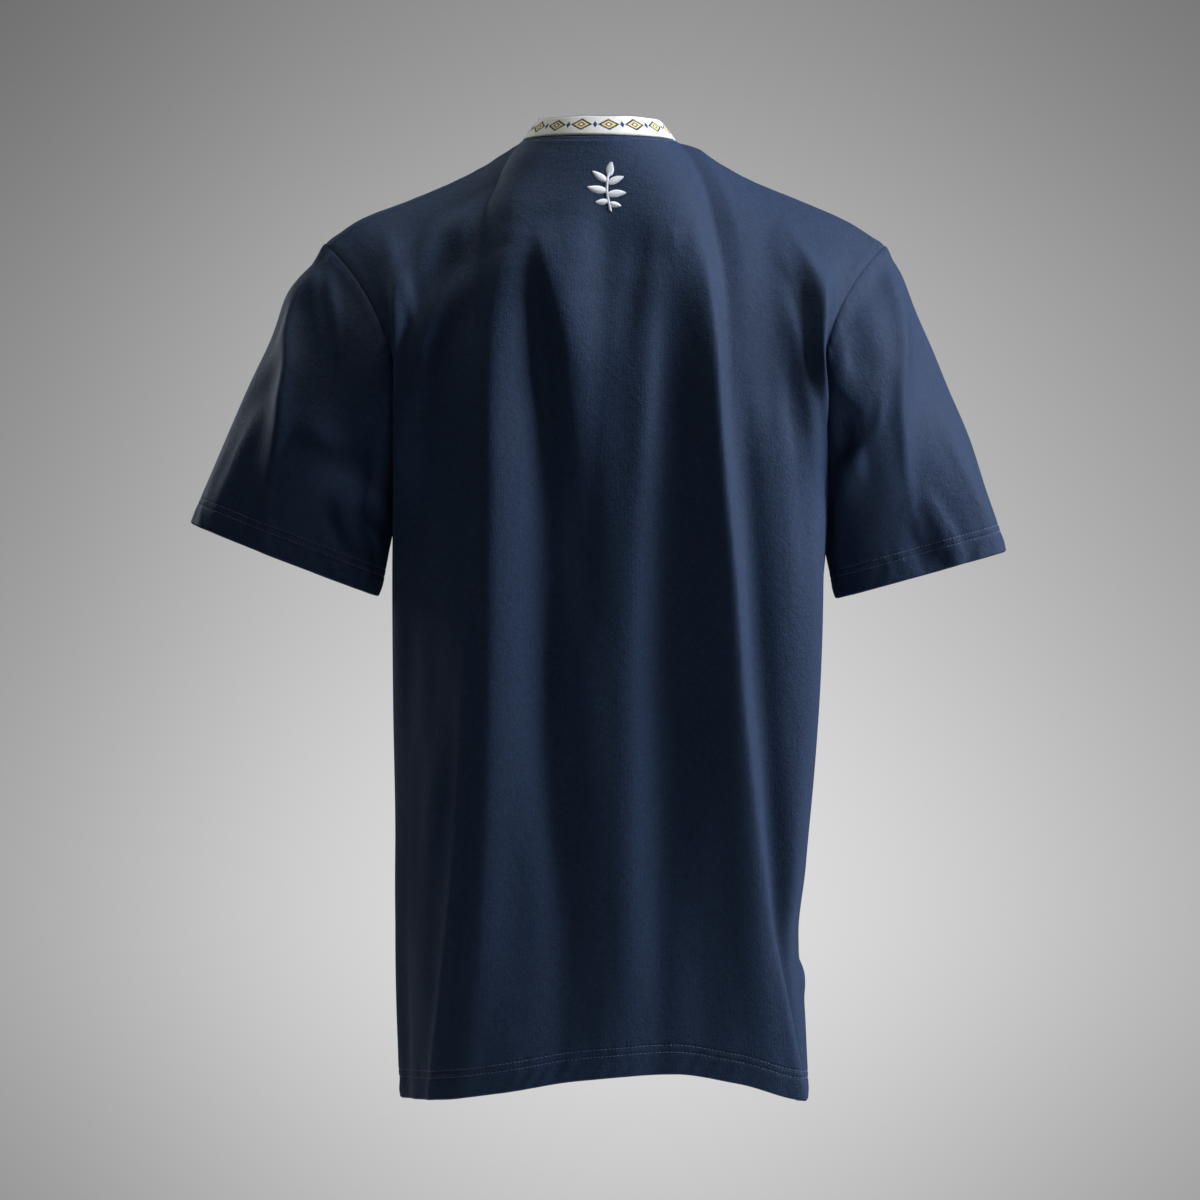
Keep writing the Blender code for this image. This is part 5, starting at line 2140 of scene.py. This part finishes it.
@dataclass
class Lamp:
    """A soft rectangular light, in metres and watts."""

    name: str
    place: tuple[float, float, float]
    aim: tuple[float, float, float]
    size: Pair
    power: float
    colour: Colour

    def build(self) -> None:
        """Hangs the lamp."""
        data = bpy.data.lights.new(self.name, "AREA")
        data.shape = "RECTANGLE"
        data.size, data.size_y = self.size
        data.energy, data.color = self.power, self.colour
        lamp = bpy.data.objects.new(self.name, data)
        lamp.location = self.place
        run = Vector(self.aim) - Vector(self.place)
        lamp.rotation_euler = run.to_track_quat("-Z", "Y").to_euler()
        lamp.visible_camera = False
        bpy.context.scene.collection.objects.link(lamp)


@dataclass
class Studio:
    """The plain floor, the soft lights, the grey surroundings and the camera."""

    distance: float = 2.6
    eye_height: float = -0.370
    eye_across: float = 0.0033
    frame_width: float = 0.984
    sensor: float = 36.0
    floor_height: float = -1.45
    floor_radius: float = 2.9
    floor_depth: float = 0.04
    floor_colour: Colour = (0.72, 0.72, 0.71)
    ambient: Colour = (0.026, 0.019, 0.009)
    ground_edge: float = 0.25  # the eye's direction, sideways or up, at the ramps' ends
    # how bright the seen ground is along each ramp: painted light, brightest a little below the middle
    # and darker towards the edges
    painted_light_across: tuple = (
        (0, 0.48), (0.13, 0.60), (0.31, 0.87), (0.49, 1.04), (0.69, 0.82), (0.87, 0.49), (1, 0.40)
    )
    painted_light_up: tuple = (
        (0, 0.44), (0.13, 0.56), (0.30, 0.84), (0.50, 0.62), (0.69, 0.49), (0.87, 0.28), (1, 0.22)
    )
    lamps: tuple[Lamp, ...] = (
        Lamp("key_light", (-2.54, 0.59, 1.84), (0, 0.0, -0.35), (0.8, 0.8), 180, (0.80, 0.85, 1.0)),
        Lamp("edge_light", (-3.27, -0.46, 0.47), (0, 0.0, -0.35), (0.6, 0.9), 67, (0.80, 0.86, 1.0)),
        Lamp("top_light", (0.4, -0.15, 2.6), (0, 0.0, -0.3), (1.0, 0.7), 38, (0.88, 0.93, 0.94)),
        Lamp("front_fill", (2.2, -2.6, 0.9), (0, 0, -0.35), (1.4, 1.4), 30, (0.84, 0.93, 1.0)),
    )

    def build(self) -> None:
        """Sets everything up."""
        self.build_floor()
        self.build_surroundings()
        self.build_camera()
        for lamp in self.lamps:
            lamp.build()

    def build_floor(self) -> None:
        """A round pale floor with a softened rim."""
        bpy.ops.object.select_all(action="DESELECT")
        bpy.ops.mesh.primitive_cylinder_add(
            vertices=128,
            radius=self.floor_radius,
            depth=self.floor_depth,
            location=(0, 0, self.floor_height - self.floor_depth / 2),
        )
        floor = bpy.context.active_object
        floor.name = "studio_floor"
        bpy.ops.object.transform_apply(location=True, rotation=True, scale=True)
        bevel = floor.modifiers.new("rim", "BEVEL")
        bevel.width, bevel.segments = 0.012, 3
        bpy.ops.object.modifier_apply(modifier=bevel.name)
        floor.data.materials.append(Plain("studio_floor_matt", self.floor_colour).material())

    def build_surroundings(self) -> None:
        """Dim surroundings for the light, with a grey ground for the eye whose soft light and fall-off
        are painted into its colour.
        """
        world = bpy.data.worlds.new("studio_grey")
        board = Board(world)
        place = board.value("ShaderNodeTexCoord", {}, {}, "Generated")
        parts = board.node("ShaderNodeSeparateXYZ", {}, {0: place})
        greys = []
        for axis, stops in (("X", self.painted_light_across), ("Z", self.painted_light_up)):
            ends = {"From Min": -self.ground_edge, "From Max": self.ground_edge}
            turn = {"Value": Shade(board, parts.outputs[axis]), **ends}
            share = board.value("ShaderNodeMapRange", {}, turn)
            greys.append(board.value("ShaderNodeValToRGB", {"stops": stops}, {0: share}))
        # the two ramps multiply into the painted pool of light on the seen ground
        grey = greys[0] * greys[1]
        seen = board.value("ShaderNodeBackground", {}, {"Color": grey})
        light = board.value("ShaderNodeBackground", {}, {"Color": self.ambient})
        eye = board.value("ShaderNodeLightPath", {}, {}, "Is Camera Ray")
        both = board.value("ShaderNodeMixShader", {}, {0: eye, 1: light, 2: seen})
        board.feed(board.tree.nodes["World Output"], "Surface", both)
        bpy.context.scene.world = world

    def build_camera(self) -> None:
        """A long lens level with the middle of the shirt, behind the wearer."""
        data = bpy.data.cameras.new("camera")
        data.sensor_width = self.sensor
        data.lens = self.sensor * self.distance / self.frame_width
        camera = bpy.data.objects.new("camera", data)
        camera.location = (self.eye_across, self.distance, self.eye_height)
        camera.rotation_euler = (math.radians(90), 0, math.radians(180))
        bpy.context.scene.collection.objects.link(camera)
        bpy.context.scene.camera = camera
        bpy.context.scene.view_settings.view_transform = "Standard"


# ---- the whole shirt


@dataclass
class Shirt:
    """All the pieces, in the order in which they are made."""

    form: BodyForm = field(default_factory=BodyForm)

    def join_seams(self) -> None:
        """Gives the pieces one normal along each seam they share."""
        back, front = self.back.cloth.normals, self.front.cloth.normals
        for column in (0, -1):
            share_normals(back, np.s_[:, column], front, np.s_[:, column])
        columns = np.arange(back.shape[1])
        neck = self.back.neck_columns
        shoulder = (0, columns[(columns <= neck[0]) | (columns >= neck[-1])])
        share_normals(back, shoulder, front, shoulder)
        collar = self.collar
        behind = len(collar.behind)
        share_normals(back, (0, collar.behind), collar.normals, np.s_[:behind])
        share_normals(front, (0, collar.before), collar.normals, np.s_[behind:])
        rows = self.back.foot
        for sleeve in self.sleeves:
            tube, column = sleeve.cloth.normals, sleeve.edge_column
            share_normals(back, np.s_[: rows + 1, column], tube, np.s_[0, : rows + 1])
            share_normals(front, np.s_[rows - 1 : 0 : -1, column], tube, np.s_[0, rows + 1 :])
        for row, column in ((0, 0), (0, -1), (0, neck[0]), (0, neck[-1])):
            front[row, column] = back[row, column]
        for piece in (self.back, self.front, *self.sleeves):
            piece.cloth.smooth_normals(5, hold_edges=True)

    def shape(self) -> None:
        """Gives every piece its form, its folds and its sunk seams."""
        self.back = BodyPanel(
            Face.BACK, "back_panel", self.form, BACK_FOLDS, BACK_CREASES, BACK_FLANKS, 11
        )
        self.front = BodyPanel(
            Face.FRONT, "front_panel", self.form, FRONT_FOLDS, FRONT_CREASES, (), 23
        )
        self.sleeves = (
            Sleeve(LEFT_ARM, self.back, self.front, LEFT_SLEEVE_FOLDS, LEFT_SLEEVE_CREASES, 37),
            Sleeve(RIGHT_ARM, self.back, self.front, RIGHT_SLEEVE_FOLDS, RIGHT_SLEEVE_CREASES, 41),
        )
        self.collar = CollarBand(self.back, self.front)
        self.join_seams()
        for piece in (self.back, self.front, *self.sleeves):
            piece.add_seams()

    def build(self) -> list[bpy.types.Object]:
        """Makes and dresses every piece, and hangs it from the root body.

        Returns:
            The pieces, in order.
        """
        self.shape()
        jersey = Jersey().material()
        jacquard = Jacquard().material()
        navy_thread = Thread("navy_thread", (0.130, 0.170, 0.270), (0.040, 0.056, 0.105), 0.50, 0.2)
        white_thread = Thread("white_thread", (0.90, 0.90, 0.88), (0.74, 0.74, 0.73), 0.42, 0.25)
        sewing, silk = navy_thread.material(), white_thread.material()
        made = []
        for part in (self.back, self.front, *self.sleeves):
            piece = part.build(jersey)
            rows = part.hem_rows() + ([part.neck_row()] if isinstance(part, BodyPanel) else [])
            seams = Stitching(f"{part.node}_stitching").build(rows, sewing)
            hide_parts(part.node)
            made += [piece, seams]
        band = self.collar.build(jacquard)
        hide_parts(self.collar.node)
        made += [band, Sprig(self.back).build(silk)]
        for thing in made:
            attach(thing, "root")
        return made


def main() -> None:
    """Builds the shirt and the studio round it."""
    logging.basicConfig(level=logging.INFO, format="%(name)s: %(message)s")
    for piece in Shirt().build():
        log.info("%s: %d faces", piece.name, len(piece.data.polygons))
    Studio().build()


if __name__ == "__main__":
    main()
